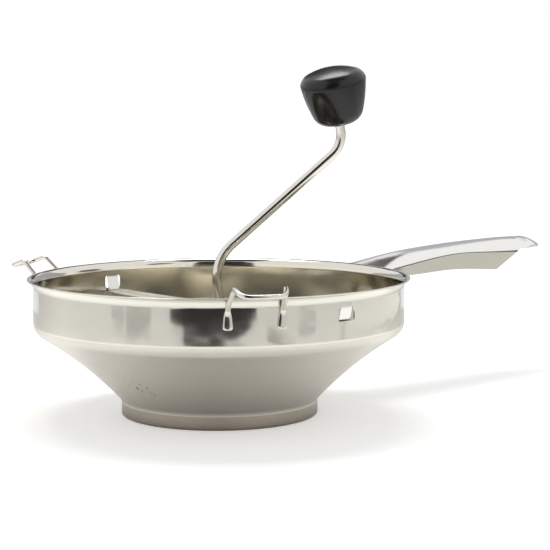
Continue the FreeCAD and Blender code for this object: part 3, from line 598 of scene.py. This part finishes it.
round_edges(pad, on_pad_corner, pad_bend, 4)
join_to(handle, [pad])
finish_mesh(handle, angle=30)
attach(handle, "frame")
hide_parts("handle")
# The handle's steel is lighter than the bowl's: painted light for the strong light on its top.
handle_bright_painted_light = steel_finish(
    "handle_bright_painted_light", (0.86, 0.85, 0.82), (0.83, 0.82, 0.79), drawn_lines,
    rough=0.14, spread=0.03, relief=0.0002, waves=0.15,
)
handle.data.materials.append(handle_bright_painted_light)


# ---- The pot hooks
# Two loops of 3 mm stainless wire that catch the edge of a pot. Each end is pressed flat and welded to the
# wall, and the loop rises past the rim, crests, and drops to a straight run.

hook_turn = 119.1
hook_wire = 1.5
hook_half = 15.8
foot_wide, foot_thick, foot_corner = 2.85, 1.5, 1.4
foot_low = 68.5
foot_rows = [foot_low, 68.6, 68.8, 69.1, 69.5, 70.0, 71.5, 73.0, 74.5, 76.0, 77.0, 77.8, 78.6]
press_high, press_run = 80.9, 4.5
taper_low, taper_run, taper = 70.5, 9.5, 0.95
leg_reach = sqrt((seat_radius + foot_thick / 2) ** 2 - hook_half**2)
corner_steps = 14


def eased(share):
    """A share between 0 and 1 that starts and ends gently."""
    share = max(0.0, min(1.0, share))
    return share**2 * (3 - 2 * share)


def bent_path(points, bends):
    """Points along a wire in millimetres, with an arc of its own radius at every inner corner."""
    path = [Vector(points[0])]
    for before, corner, after, bend in zip(points, points[1:], points[2:], bends):
        corner = Vector(corner)
        back, ahead = (Vector(before) - corner).normalized(), (Vector(after) - corner).normalized()
        turn = back.angle(ahead)
        if bend == 0:
            path.append(corner)
            continue
        centre = corner + (back + ahead).normalized() * (bend / sin(turn / 2))
        start = corner + back * (bend / tan(turn / 2)) - centre
        end = corner + ahead * (bend / tan(turn / 2)) - centre
        for step in range(corner_steps + 1):
            path.append(centre + start.slerp(end, step / corner_steps).normalized() * bend)
    path.append(Vector(points[-1]))
    return path


def bend_wire(name, points, bends, radius):
    """Bend a round wire, in millimetres; each inner point has its bend radius, or 0 where it is straight."""
    bpy.ops.object.select_all(action="DESELECT")
    bpy.ops.mesh.primitive_plane_add(size=MM, location=Vector(points[0]) * MM)
    piece = bpy.context.object
    bpy.ops.object.transform_apply(location=True)
    bpy.context.tool_settings.mesh_select_mode = (True, False, False)
    bpy.ops.object.mode_set(mode="EDIT")
    bpy.ops.mesh.select_all(action="SELECT")
    bpy.ops.mesh.merge(type="CENTER")
    path = bent_path(points, bends)
    for start, end in zip(path, path[1:]):
        bpy.ops.mesh.extrude_vertices_move(TRANSFORM_OT_translate={"value": (end - start) * MM})
    bpy.ops.object.mode_set(mode="OBJECT")
    pick_piece(piece)
    bpy.ops.object.convert(target="CURVE")
    line = bpy.context.object
    line.data.bevel_depth = radius * MM
    line.data.bevel_resolution = 5
    line.data.fill_mode = "FULL"
    line.data.use_fill_caps = True
    bpy.ops.object.convert(target="MESH")
    piece = bpy.context.object
    piece.name = name
    return piece


def flatten_ends(hook):
    """Press the two ends of the wire flat against the wall, wider low down and rounded at the foot."""
    leg_away = hypot(leg_reach, hook_half)
    leg_turn = atan2(hook_half, leg_reach)
    for vertex in hook.data.vertices:
        spot = vertex.co / MM
        if spot.z > press_high:
            continue
        pressed = eased((press_high - spot.z) / press_run)
        turn = atan2(spot.y, spot.x)
        side = 1 if turn > 0 else -1
        aside = (turn - side * leg_turn) * leg_away / hook_wire
        away = (hypot(spot.x, spot.y) - leg_away) / hook_wire
        half = foot_wide - taper * max(0.0, (spot.z - taper_low) / taper_run)
        into_corner = max(0.0, 1 - (spot.z - foot_low) / foot_corner)
        half -= foot_corner * (1 - sqrt(max(0.0, 1 - into_corner**2)))
        half = hook_wire + (half - hook_wire) * pressed
        depth = hook_wire + (foot_thick / 2 - hook_wire) * pressed
        middle = leg_away + (seat_radius + foot_thick / 2 - leg_away) * pressed
        reach = middle + away * depth
        swing = side * leg_turn + aside * half / leg_away
        vertex.co = Vector((reach * cos(swing), reach * sin(swing), spot.z)) * MM


hook_side = [
    *[(leg_reach, hook_half, height) for height in foot_rows],
    (leg_reach, hook_half, 79.6),
    (flange_radius + 1.3, hook_half, rim_height - 2.3),
    (flange_radius + 10.4, 14.4, rim_height + 7.0),
    (flange_radius + 20.9, 12.7, rim_height + 3.0),
]
hook_path = hook_side + [(reach, -aside, height) for reach, aside, height in reversed(hook_side)]
half_bends = [0] * (len(foot_rows) - 1) + [4.0, 3.0, 4.0, 7.0]
hook_bright = steel_finish(
    "hook_bright", (0.74, 0.71, 0.66), (0.66, 0.63, 0.57), drawn_lines,
    rough=0.12, spread=0.03, relief=0.0002, waves=0.0,
)
for name, node, turn in (
    ("hook_wire_left", "left_pot_hook", hook_turn),
    ("hook_wire_right", "right_pot_hook", -hook_turn),
):
    hook = bend_wire(name, hook_path, half_bends + half_bends[::-1], hook_wire)
    flatten_ends(hook)
    hook.rotation_euler = (0, 0, radians(turn))
    pick_piece(hook)
    bpy.ops.object.transform_apply(rotation=True)
    finish_mesh(hook, angle=50)
    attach(hook, "frame")
    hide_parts(node)
    hook.data.materials.append(hook_bright)


# ---- The sieve disc and its eyelet
# A shallow cone of 1 mm sheet punched with rings of 3 mm holes, loose on the ledge of the foot. A flanged
# eyelet in its middle guides the end of the shaft.

disc_satin = steel_finish(
    "disc_satin", (0.66, 0.65, 0.60), (0.57, 0.56, 0.51), turned_lines,
    rough=0.34, spread=0.08, relief=0.001, waves=0.05, smudge=0.1,
)
turned_fitting = steel_finish(
    "turned_fitting", (0.66, 0.65, 0.61), (0.58, 0.57, 0.53), turned_lines,
    rough=0.24, spread=0.06, relief=0.001, waves=0.0,
)


def dress(node, material):
    """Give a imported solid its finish."""
    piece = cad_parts[node]
    piece.data.materials.clear()
    piece.data.materials.append(material)


dress("sieve_disc", disc_satin)
dress("disc_bush", turned_fitting)


# ---- The crossbar with its bearing
# A bar of 1.2 mm sheet across the bowl, its long edges folded down and a bead pressed along each half. The
# ends lie under the two tabs, with a lip turned up behind each. The bearing is riveted through the middle.

bar_top = 68.2
bar_sheet = 1.2
bar_half = 8.0
bar_end = 114.8
fold_end, fold_run = 104.0, 1.5
fold_deep = 3.0
fold_bend = 1.0
bead_start, bead_end, bead_run = 18.0, 102.0, 2.0
bead_half, bead_deep, bead_flank = 2.5, 0.5, 1.0
bearing_hole, hole_sides = 5.05, 48
lip_sheet = 0.6
lip_low, lip_high = bar_top - 0.3, bar_top + 1.3
lip_low_bend, lip_high_bend = 0.2, 0.8
across_steps = 44
along_steps = 240
edge_run = bar_half + fold_deep + bar_sheet
flat_run = bar_half - fold_bend
arc_run = fold_bend * pi / 2
bpy.ops.object.select_all(action="DESELECT")
bpy.ops.mesh.primitive_grid_add(x_subdivisions=across_steps, y_subdivisions=along_steps, size=1)
bar = bpy.context.object
bar.name = "bar_pressing"
for vertex in bar.data.vertices:
    along = vertex.co.y * 2 * bar_end
    away = abs(along)
    side = -1 if vertex.co.x < 0 else 1
    folded = eased((fold_end - away) / fold_run)
    whole = flat_run + (arc_run + edge_run - bar_half - fold_bend) * folded + fold_bend * (1 - folded)
    run = abs(vertex.co.x) * 2 * whole
    if run < flat_run or folded == 0:
        across, drop = run, 0.0
    elif run < flat_run + arc_run:
        swing = (run - flat_run) / fold_bend
        across, drop = flat_run + fold_bend * sin(swing), fold_bend * (1 - cos(swing))
    else:
        across, drop = bar_half, fold_bend + run - flat_run - arc_run
    bead = eased((bead_half - across) / bead_flank) * eased((away - bead_start) / bead_run)
    bead *= eased((bead_end - away) / bead_run)
    vertex.co = Vector((across * side, along, bar_top - drop - bead_deep * bead)) * MM
pick_piece(bar)
wall = bar.modifiers.new("wall", "SOLIDIFY")
wall.thickness = bar_sheet * MM
wall.offset = -1
bpy.ops.object.modifier_apply(modifier=wall.name)
last_turn = 360 * (hole_sides - 1) / hole_sides
hole_outline = arc((0, 0), bearing_hole, 0, last_turn, hole_sides - 1)
below_bar, above_bar = 50, 80
cut_out(bar, prism("bearing_cutter", hole_outline, "Z", below_bar, above_bar))
lips = []
for side in (1, -1):
    ends = sorted((side * (bar_end - lip_sheet), side * bar_end))
    lip_outline = rounded(-tab_half, lip_low, tab_half, lip_high, lip_low_bend, lip_high_bend, steps=4)
    lip = prism("lip", lip_outline, "Y", *ends)
    round_edges(lip, lambda spot: True, edge_break, 1)
    lips.append(lip)
join_to(bar, lips)
finish_mesh(bar, angle=40)
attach(bar, "crossbar")
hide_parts("crossbar")


def lengthwise_lines(tree):
    """Straight lines along the bar."""
    return drawn_lines(tree, (1500, 40, 1500))


bar_satin = steel_finish(
    "bar_satin", (0.68, 0.66, 0.61), (0.62, 0.60, 0.55), lengthwise_lines,
    rough=0.20, spread=0.05, relief=0.0005, waves=0.1,
)
bar.data.materials.append(bar_satin)
for node in ("crossbar_bush", "bush_washer", "spring_cap"):
    dress(node, turned_fitting)


# ---- The spring
# A compression spring of 1.5 mm bright wire between the washer on the hub and the washer under the
# crossbar. It presses the blade down on the disc and the bar up against its tabs. The lower turns give
# way when the shaft is lifted, and the upper ones when the bar is pressed.

spring_foot, spring_head = 29.8, 64.3
spring_wire, spring_radius = 0.75, 5.2
spring_turns = 7
lower_turns = 3
wire_sides, coil_steps = 14, 40
pitch = (spring_head - spring_foot - 2 * spring_wire) / spring_turns
parting = spring_foot + spring_wire + pitch * lower_turns
spring_bright = steel_finish(
    "spring_bright", (0.58, 0.57, 0.55), (0.50, 0.49, 0.46), turned_lines,
    rough=0.22, spread=0.05, relief=0.0002, waves=0.0,
)


def wind(name, start, turns, closed_at):
    """Wind turns of the spring upwards from a height, with a closed coil at one end."""
    bpy.ops.object.select_all(action="DESELECT")
    spot = (spring_radius * MM, 0, start * MM)
    bpy.ops.mesh.primitive_circle_add(
        vertices=wire_sides, radius=spring_wire * MM, location=spot, rotation=(pi / 2, 0, 0)
    )
    piece = bpy.context.object
    piece.name = name
    bpy.ops.object.transform_apply(location=True, rotation=True)
    coil = piece.modifiers.new("coil", "SCREW")
    coil.axis = "Z"
    coil.screw_offset = pitch * MM
    coil.iterations = turns
    coil.steps = coil.render_steps = coil_steps
    coil.use_merge_vertices = False
    bpy.ops.object.modifier_apply(modifier=coil.name)
    bpy.ops.object.mode_set(mode="EDIT")
    bpy.ops.mesh.select_all(action="SELECT")
    bpy.ops.mesh.remove_doubles(threshold=1e-7)
    bpy.ops.mesh.select_all(action="DESELECT")
    bpy.ops.mesh.select_non_manifold()
    bpy.ops.mesh.edge_face_add()
    bpy.ops.object.mode_set(mode="OBJECT")
    bpy.ops.object.select_all(action="DESELECT")
    bpy.ops.mesh.primitive_torus_add(
        major_radius=spring_radius * MM,
        minor_radius=spring_wire * MM,
        major_segments=coil_steps,
        minor_segments=wire_sides,
        location=(0, 0, closed_at * MM),
    )
    end_coil = bpy.context.object
    bpy.ops.object.transform_apply(location=True)
    join_to(piece, [end_coil])
    finish_mesh(piece, angle=60)
    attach(piece, "frame")
    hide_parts("spring")
    piece.data.materials.append(spring_bright)
    return piece


spring_low = wind("spring_lower", spring_foot + spring_wire, lower_turns, spring_foot + spring_wire)
spring_high = wind("spring_upper", parting, spring_turns - lower_turns, spring_head - spring_wire)
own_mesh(spring_low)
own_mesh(spring_high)
dress("spring_seat", turned_fitting)


# ---- The crank rod, its hub and the scraper blade
# One 6 mm stainless rod: the upright shaft, a slight back lean, the long arm, and the spindle of the knob.
# A hub is pinned to its foot and carries the blade, half a turn of a shallow helicoid.

rod_radius = 3.0
rod_foot = 3.5
crank_turn = radians(-39.1)
back_lean, arm_rise = radians(7.0), radians(41.6)
spindle_back, spindle_aside = radians(10.0), radians(11.7)
lean_low, lean_run = bar_top + 3.3, 25.3
arm_reach = 77.8
spindle_to_knob = 14.2
spindle_in_knob = 20.5
elbow = Vector((-lean_run * tan(back_lean), 0, lean_low + lean_run))
wrist = Vector((arm_reach, 0, elbow.z + (arm_reach - elbow.x) * tan(arm_rise)))
spindle = Vector((-tan(spindle_back), -tan(spindle_aside), 1)).normalized()
rod_path = [
    (0, 0, rod_foot),
    (0, 0, lean_low),
    tuple(elbow),
    tuple(wrist),
    tuple(wrist + spindle * (spindle_to_knob + spindle_in_knob)),
]
rod_bends = [30.0, 28.0, 17.0]
rod = bend_wire("bent_rod", rod_path, rod_bends, rod_radius)
rod.rotation_euler = (0, 0, crank_turn)
pick_piece(rod)
bpy.ops.object.transform_apply(rotation=True)
finish_mesh(rod, angle=50)
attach(rod, "crank")
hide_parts("crank_rod")
rod_bright = steel_finish(
    "rod_bright", (0.76, 0.73, 0.67), (0.70, 0.67, 0.61), drawn_lines,
    rough=0.09, spread=0.03, relief=0.0001, waves=0.0,
)
rod.data.materials.append(rod_bright)
dress("scraper_blade", disc_satin)
for node in ("blade_hub", "hub_pin", "knob_stop_ring", "knob_washer", "knob_retainer"):
    dress(node, turned_fitting)


# ---- The knob
# Black glossy moulding in two parts that turn freely on the spindle: a tapered body with a bore, and a
# domed cap pressed into it, which hides the retaining ring. The seam between the two shows.

knob_radius = 20.5
knob_foot = 13.3
knob_tall = 26.5
crown_height = knob_tall + 9.3
cap_reach = 15.2
cap_shoulder = crown_height - 3.0
side_bow, shoulder_bow, crown_bow = 100.0, 8.0, 40.3
foot_bend = 9.5
bore = 3.05
recess_radius, recess_deep = 5.4, 2.4
socket_radius, socket_low = 9.0, 16.0
plug_inner, plug_outer, plug_deep = 7.45, 8.95, 3.0
roof = knob_tall + 1.5
cap_edge = 0.5
pole = 0.02


def bow_middle(start, end, bow):
    """Middle of the arc that runs from start to end and bulges outwards."""
    start, end = Vector(start), Vector(end)
    chord = end - start
    aside = Vector((-chord.y, chord.x)).normalized()
    return (start + end) / 2 + aside * sqrt(bow**2 - (chord.length / 2) ** 2)


def bowed(start, end, bow, steps):
    """Rings from start to end along an arc that bulges outwards."""
    middle = bow_middle(start, end, bow)
    first, last = (degrees(atan2(spot[1] - middle.y, spot[0] - middle.x)) for spot in (start, end))
    return arc(middle, bow, first, last, steps)


side_middle = bow_middle((knob_foot, 0), (knob_radius, knob_tall), side_bow)
bend_away = sqrt((side_bow - foot_bend) ** 2 - (foot_bend - side_middle.y) ** 2)
side_low = degrees(atan2(foot_bend - side_middle.y, bend_away))
side_top = degrees(atan2(knob_tall - side_middle.y, knob_radius - side_middle.x))
knob_side = [
    *arc((side_middle.x + bend_away, foot_bend), foot_bend, -90, side_low, 16),
    *arc(side_middle, side_bow, side_low, side_top, 10)[1:],
]
body_rings = [
    (bore, recess_deep),
    (recess_radius, recess_deep),
    (recess_radius, 0),
    *knob_side,
    (socket_radius, knob_tall),
    (socket_radius, socket_low),
    (bore, socket_low),
]
cap_rings = [
    (pole, roof),
    (plug_inner, roof),
    (plug_inner, knob_tall - plug_deep),
    (plug_outer, knob_tall - plug_deep),
    (plug_outer, knob_tall),
    (knob_radius, knob_tall),
    *bowed((knob_radius, knob_tall + cap_edge), (cap_reach, cap_shoulder), shoulder_bow, 10),
    *bowed((cap_reach, cap_shoulder), (pole, crown_height), crown_bow, 12)[1:],
]
knob_body = raise_rings("knob_moulding", body_rings, sides=128)
round_rings(knob_body, [(recess_radius, 0, 0.4, 3), (knob_radius, knob_tall, 0.35, 3)])
knob_cap = raise_rings("knob_top", cap_rings, sides=128, closed=False)
round_rings(knob_cap, [(knob_radius, knob_tall, 0.3, 3)])
for height in (roof, crown_height):
    pick_edges(knob_cap, lambda spot: on_ring(spot, pole, height))
    bpy.ops.object.mode_set(mode="EDIT")
    bpy.ops.mesh.merge(type="CENTER")
    bpy.ops.object.mode_set(mode="OBJECT")
about = Matrix.Rotation(crank_turn, 4, "Z")
lean = Vector((0, 0, 1)).rotation_difference(spindle).to_matrix().to_4x4()
knob_place = about @ Matrix.Translation((wrist + spindle * spindle_to_knob) * MM) @ lean


def gloss_black(name, low, high):
    """Glossy black moulding with faint flow marks and rubbed patches, between two roughnesses."""
    material = bpy.data.materials.new(name)
    material.use_nodes = True
    tree = material.node_tree
    shader = tree.nodes["Principled BSDF"]
    shader.inputs["Specular IOR Level"].default_value = 0.4
    place = add_node(tree, "ShaderNodeTexCoord").outputs["Object"]
    cloud = noise(tree, place, 60.0, 4.0, 0.6)
    tone = blended(tree, cloud, (0.006, 0.006, 0.006, 1), (0.014, 0.014, 0.013, 1))
    tree.links.new(tone, shader.inputs["Base Color"])
    tree.links.new(carried(tree, cloud, 0.3, 0.8, low, high), shader.inputs["Roughness"])
    grain = noise(tree, place, 900.0, 2.0, 0.5)
    bump = add_node(tree, "ShaderNodeBump", {"Strength": 0.15, "Distance": 0.00003, "Height": grain})
    tree.links.new(bump.outputs[0], shader.inputs["Normal"])
    return material


knob_black = gloss_black("knob_black", 0.12, 0.20)
cap_black = gloss_black("cap_black", 0.22, 0.34)
for piece, node, material in ((knob_body, "knob_body", knob_black), (knob_cap, "knob_cap", cap_black)):
    piece.matrix_world = knob_place
    pick_piece(piece)
    bpy.ops.object.transform_apply(location=True, rotation=True, scale=True)
    finish_mesh(piece, angle=30)
    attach(piece, "knob")
    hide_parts(node)
    piece.data.materials.append(material)


# ---- Floor, light and camera
# A plain pale floor without a visible edge, an even white studio around it, and one large soft lamp above.
# Dark and pale cards stand and lie round the object, and show in nothing but its bright steel and its knob.

bpy.ops.object.select_all(action="DESELECT")
bpy.ops.mesh.primitive_plane_add(size=60, location=(0, 0, 0))
floor = bpy.context.object
floor.name = "floor"
pale_floor = bpy.data.materials.new("pale_floor")
pale_floor.use_nodes = True
tree = pale_floor.node_tree
shader = tree.nodes["Principled BSDF"]
shader.inputs["Roughness"].default_value = 0.9
shader.inputs["Specular IOR Level"].default_value = 0.1
place = add_node(tree, "ShaderNodeTexCoord").outputs["Object"]
away = add_node(tree, "ShaderNodeVectorMath", {0: place}, operation="LENGTH").outputs["Value"]
bearing = add_node(tree, "ShaderNodeVectorMath", {0: place}, operation="NORMALIZE").outputs[0]
ray = add_node(tree, "ShaderNodeLightPath").outputs
camera_turn = radians(-129.1)


def rising(start, end, low, high):
    """A value that goes from low to high between two distances from the object."""
    return carried(tree, away, start, end, low, high)


def lying_towards(heading):
    """How squarely a place on the floor lies in a direction from the object, from -1 to 1."""
    values = {0: bearing, 1: heading}
    return add_node(tree, "ShaderNodeVectorMath", values, operation="DOT_PRODUCT").outputs["Value"]


# The floor glows a little, and turns white far off. Its mirrored glow is painted light, stronger at the
# sides, and weaker close to the foot as painted shade of the bowl.
seen = combined(tree, "MULTIPLY", ray["Is Camera Ray"], rising(0.5, 2.0, 0.36, 0.6))
sideways = lying_towards((-sin(camera_turn), cos(camera_turn), 0))
square = combined(tree, "MULTIPLY", sideways, sideways)
flanks = combined(tree, "MULTIPLY", square, rising(0.3, 0.6, 0.10, 0.02))
apron = combined(tree, "ADD", flanks, rising(0.066, 0.12, 0.17, 0.42))
bounce = combined(tree, "SUBTRACT", apron, rising(0.25, 0.50, 0.0, 0.34))
mirrored = combined(tree, "MULTIPLY", ray["Is Glossy Ray"], bounce)
through = combined(tree, "MULTIPLY", ray["Is Transmission Ray"], 0.3)
glow = combined(tree, "ADD", combined(tree, "ADD", seen, mirrored), through)
shader.inputs["Emission Color"].default_value = (1, 1, 1, 1)
tree.links.new(glow, shader.inputs["Emission Strength"])

# Its mirrored colour is darker behind the object and close to the foot, painted in for reflections only;
# close to the foot it is painted shade of the bowl.
behind = lying_towards((-cos(camera_turn), -sin(camera_turn), 0))
rear = carried(tree, behind, 0.2, 0.7, 0.0, 0.5)
shade = combined(tree, "MAXIMUM", rear, rising(0.066, 0.082, 0.7, 0.0))
mirrored_painted_shade = combined(tree, "MULTIPLY", ray["Is Glossy Ray"], shade)
floor_tone = blended(tree, mirrored_painted_shade, (0.88, 0.88, 0.87, 1), (0.30, 0.28, 0.25, 1))
tree.links.new(floor_tone, shader.inputs["Base Color"])
floor.data.materials.append(pale_floor)

studio = bpy.data.worlds.new("studio")
bpy.context.scene.world = studio
studio.use_nodes = True
room = studio.node_tree
ray = add_node(room, "ShaderNodeLightPath").outputs
straight = combined(room, "MAXIMUM", ray["Is Camera Ray"], ray["Is Glossy Ray"])
any_view = combined(room, "MAXIMUM", straight, ray["Is Transmission Ray"])
strength = carried(room, any_view, 0.0, 1.0, 0.62, 1.0)
room.links.new(strength, room.nodes["Background"].inputs["Strength"])
room.nodes["Background"].inputs["Color"].default_value = (1, 1, 1, 1)

bpy.ops.object.light_add(type="AREA", location=(0.249, 0.448, 1.41))
lamp = bpy.context.object
lamp.name = "soft_lamp"
lamp.rotation_euler = lamp.location.to_track_quat("Z", "Y").to_euler()
lamp.data.shape = "RECTANGLE"
lamp.data.size = 0.85
lamp.data.size_y = 0.4
lamp.data.energy = 9.0


def upright(turn, distance, outline):
    """Corners of a standing card; it faces the object, turned from the camera's side by some degrees."""
    heading = camera_turn + radians(turn)
    ahead = Vector((cos(heading), sin(heading), 0)) * distance
    aside = Vector((-sin(heading), cos(heading), 0))
    return [ahead + aside * across + Vector((0, 0, height)) for across, height in outline]


def lying(outline, share, height):
    """Corners of a flat card at a height, its outline scaled about its middle."""
    middle = Vector([sum(way) / len(outline) for way in zip(*outline)])
    return [(*(middle + (Vector(corner) - middle) * share), height) for corner in outline]


def oblong(left, low, right, high):
    """Outline of a plain card."""
    return [(left, low), (right, low), (right, high), (left, high)]


front_outline = [(-161, 0), (80, 0), (109, 5), (123, 10), (153, 18), (179, 23), (174, 32), (174, 900)]
front_outline += [(-237, 900), (-237, 27), (-243, 18), (-220, 16), (-187, 12), (-171, 7)]
back_outline = [(-80, 150), (70, 150), (70, 420), (260, 560), (260, 1500)]
back_outline += [(-260, 1500), (-260, 560), (-80, 420)]
side_outline = [(-1500, 60), (-80, 60), (-80, 320), (-190, 320), (-230, 520), (-1500, 520)]
board_outline = [(492, -554), (555, -494), (660, -385), (733, -204), (742, 20), (623, 104)]
board_outline += [(555, 9), (512, -109), (448, -234), (381, -326), (294, -392), (240, -426)]
mat_outline = [(-418, -278), (-378, -299), (-302, -376), (-242, -428), (-238, -453), (-434, -296)]
boom_outline = [(-990, -355), (-145, -1042), (801, 122), (-44, 809)]
pale_cloth, dark_cloth = (0.84, 0.88, 0.94), (0.02, 0.018, 0.02)
cards = [
    ("front_screen", upright(0, 500, front_outline), dark_cloth),
    ("right_foot", upright(36, 500, [(-98, 0), (64, 0), (-26, 5), (-64, 10), (-98, 8)]), (0.2, 0.19, 0.18)),
    ("right_patch", upright(52, 560, oblong(-85, 1, 10, 16)), (0.5, 0.5, 0.5)),
    ("left_patch", upright(-52, 560, oblong(-80, 9, 2, 23)), (0.50, 0.50, 0.50)),
    ("left_strip", upright(-52, 560, oblong(14, 0, 148, 26)), (0.48, 0.48, 0.47)),
    ("left_edge", upright(-150, 560, oblong(-250, 0, 160, 60)), pale_cloth),
    ("right_edge", upright(155, 560, oblong(-160, 0, 250, 60)), pale_cloth),
    ("right_wall", upright(87, 900, oblong(-300, 80, 300, 215)), (0.53, 0.52, 0.46)),
    ("right_shelf", upright(92, 890, oblong(-20, 225, 300, 420)), (0.05, 0.05, 0.05)),
    ("back_screen", upright(180, 900, back_outline), (0.06, 0.05, 0.05)),
    ("back_left", upright(180, 905, oblong(70, 60, 1500, 320)), (0.40, 0.41, 0.44)),
    ("back_right", upright(180, 905, side_outline), (0.40, 0.41, 0.44)),
    ("board", lying(board_outline, 0.97, 3), (0.8, 0.8, 0.78)),
    ("board_edge", lying(board_outline, 1.02, 2), (0.22, 0.22, 0.21)),
    ("mat", lying(mat_outline, 1.0, 3), dark_cloth),
    ("boom", [(*corner, 1600) for corner in boom_outline], (0.05, 0.05, 0.05)),
]
for name, corners, tone in cards:
    bpy.ops.mesh.primitive_circle_add(vertices=len(corners), radius=1, fill_type="NGON")
    card = bpy.context.object
    card.name = name
    for vertex, corner in zip(card.data.vertices, corners):
        vertex.co = Vector(corner) * MM
    card.visible_camera = card.visible_diffuse = card.visible_shadow = False
    cloth = bpy.data.materials.new(name + "_cloth")
    cloth.use_nodes = True
    shader = cloth.node_tree.nodes["Principled BSDF"]
    shader.inputs["Base Color"].default_value = shader.inputs["Emission Color"].default_value = (*tone, 1)
    # Each card also glows a little: painted light on it.
    shader.inputs["Emission Strength"].default_value = 0.3
    shader.inputs["Roughness"].default_value = 1.0
    card.data.materials.append(cloth)

bpy.ops.object.camera_add(
    location=(-0.6428, -0.7909, 0.1955),
    rotation=(radians(83.938), radians(0.062), radians(-41.082)),
)
camera = bpy.context.object
camera.name = "camera"
camera.data.lens = 106.49
camera.data.sensor_width = 36
bpy.context.scene.camera = camera
bpy.context.scene.view_settings.view_transform = "Standard"
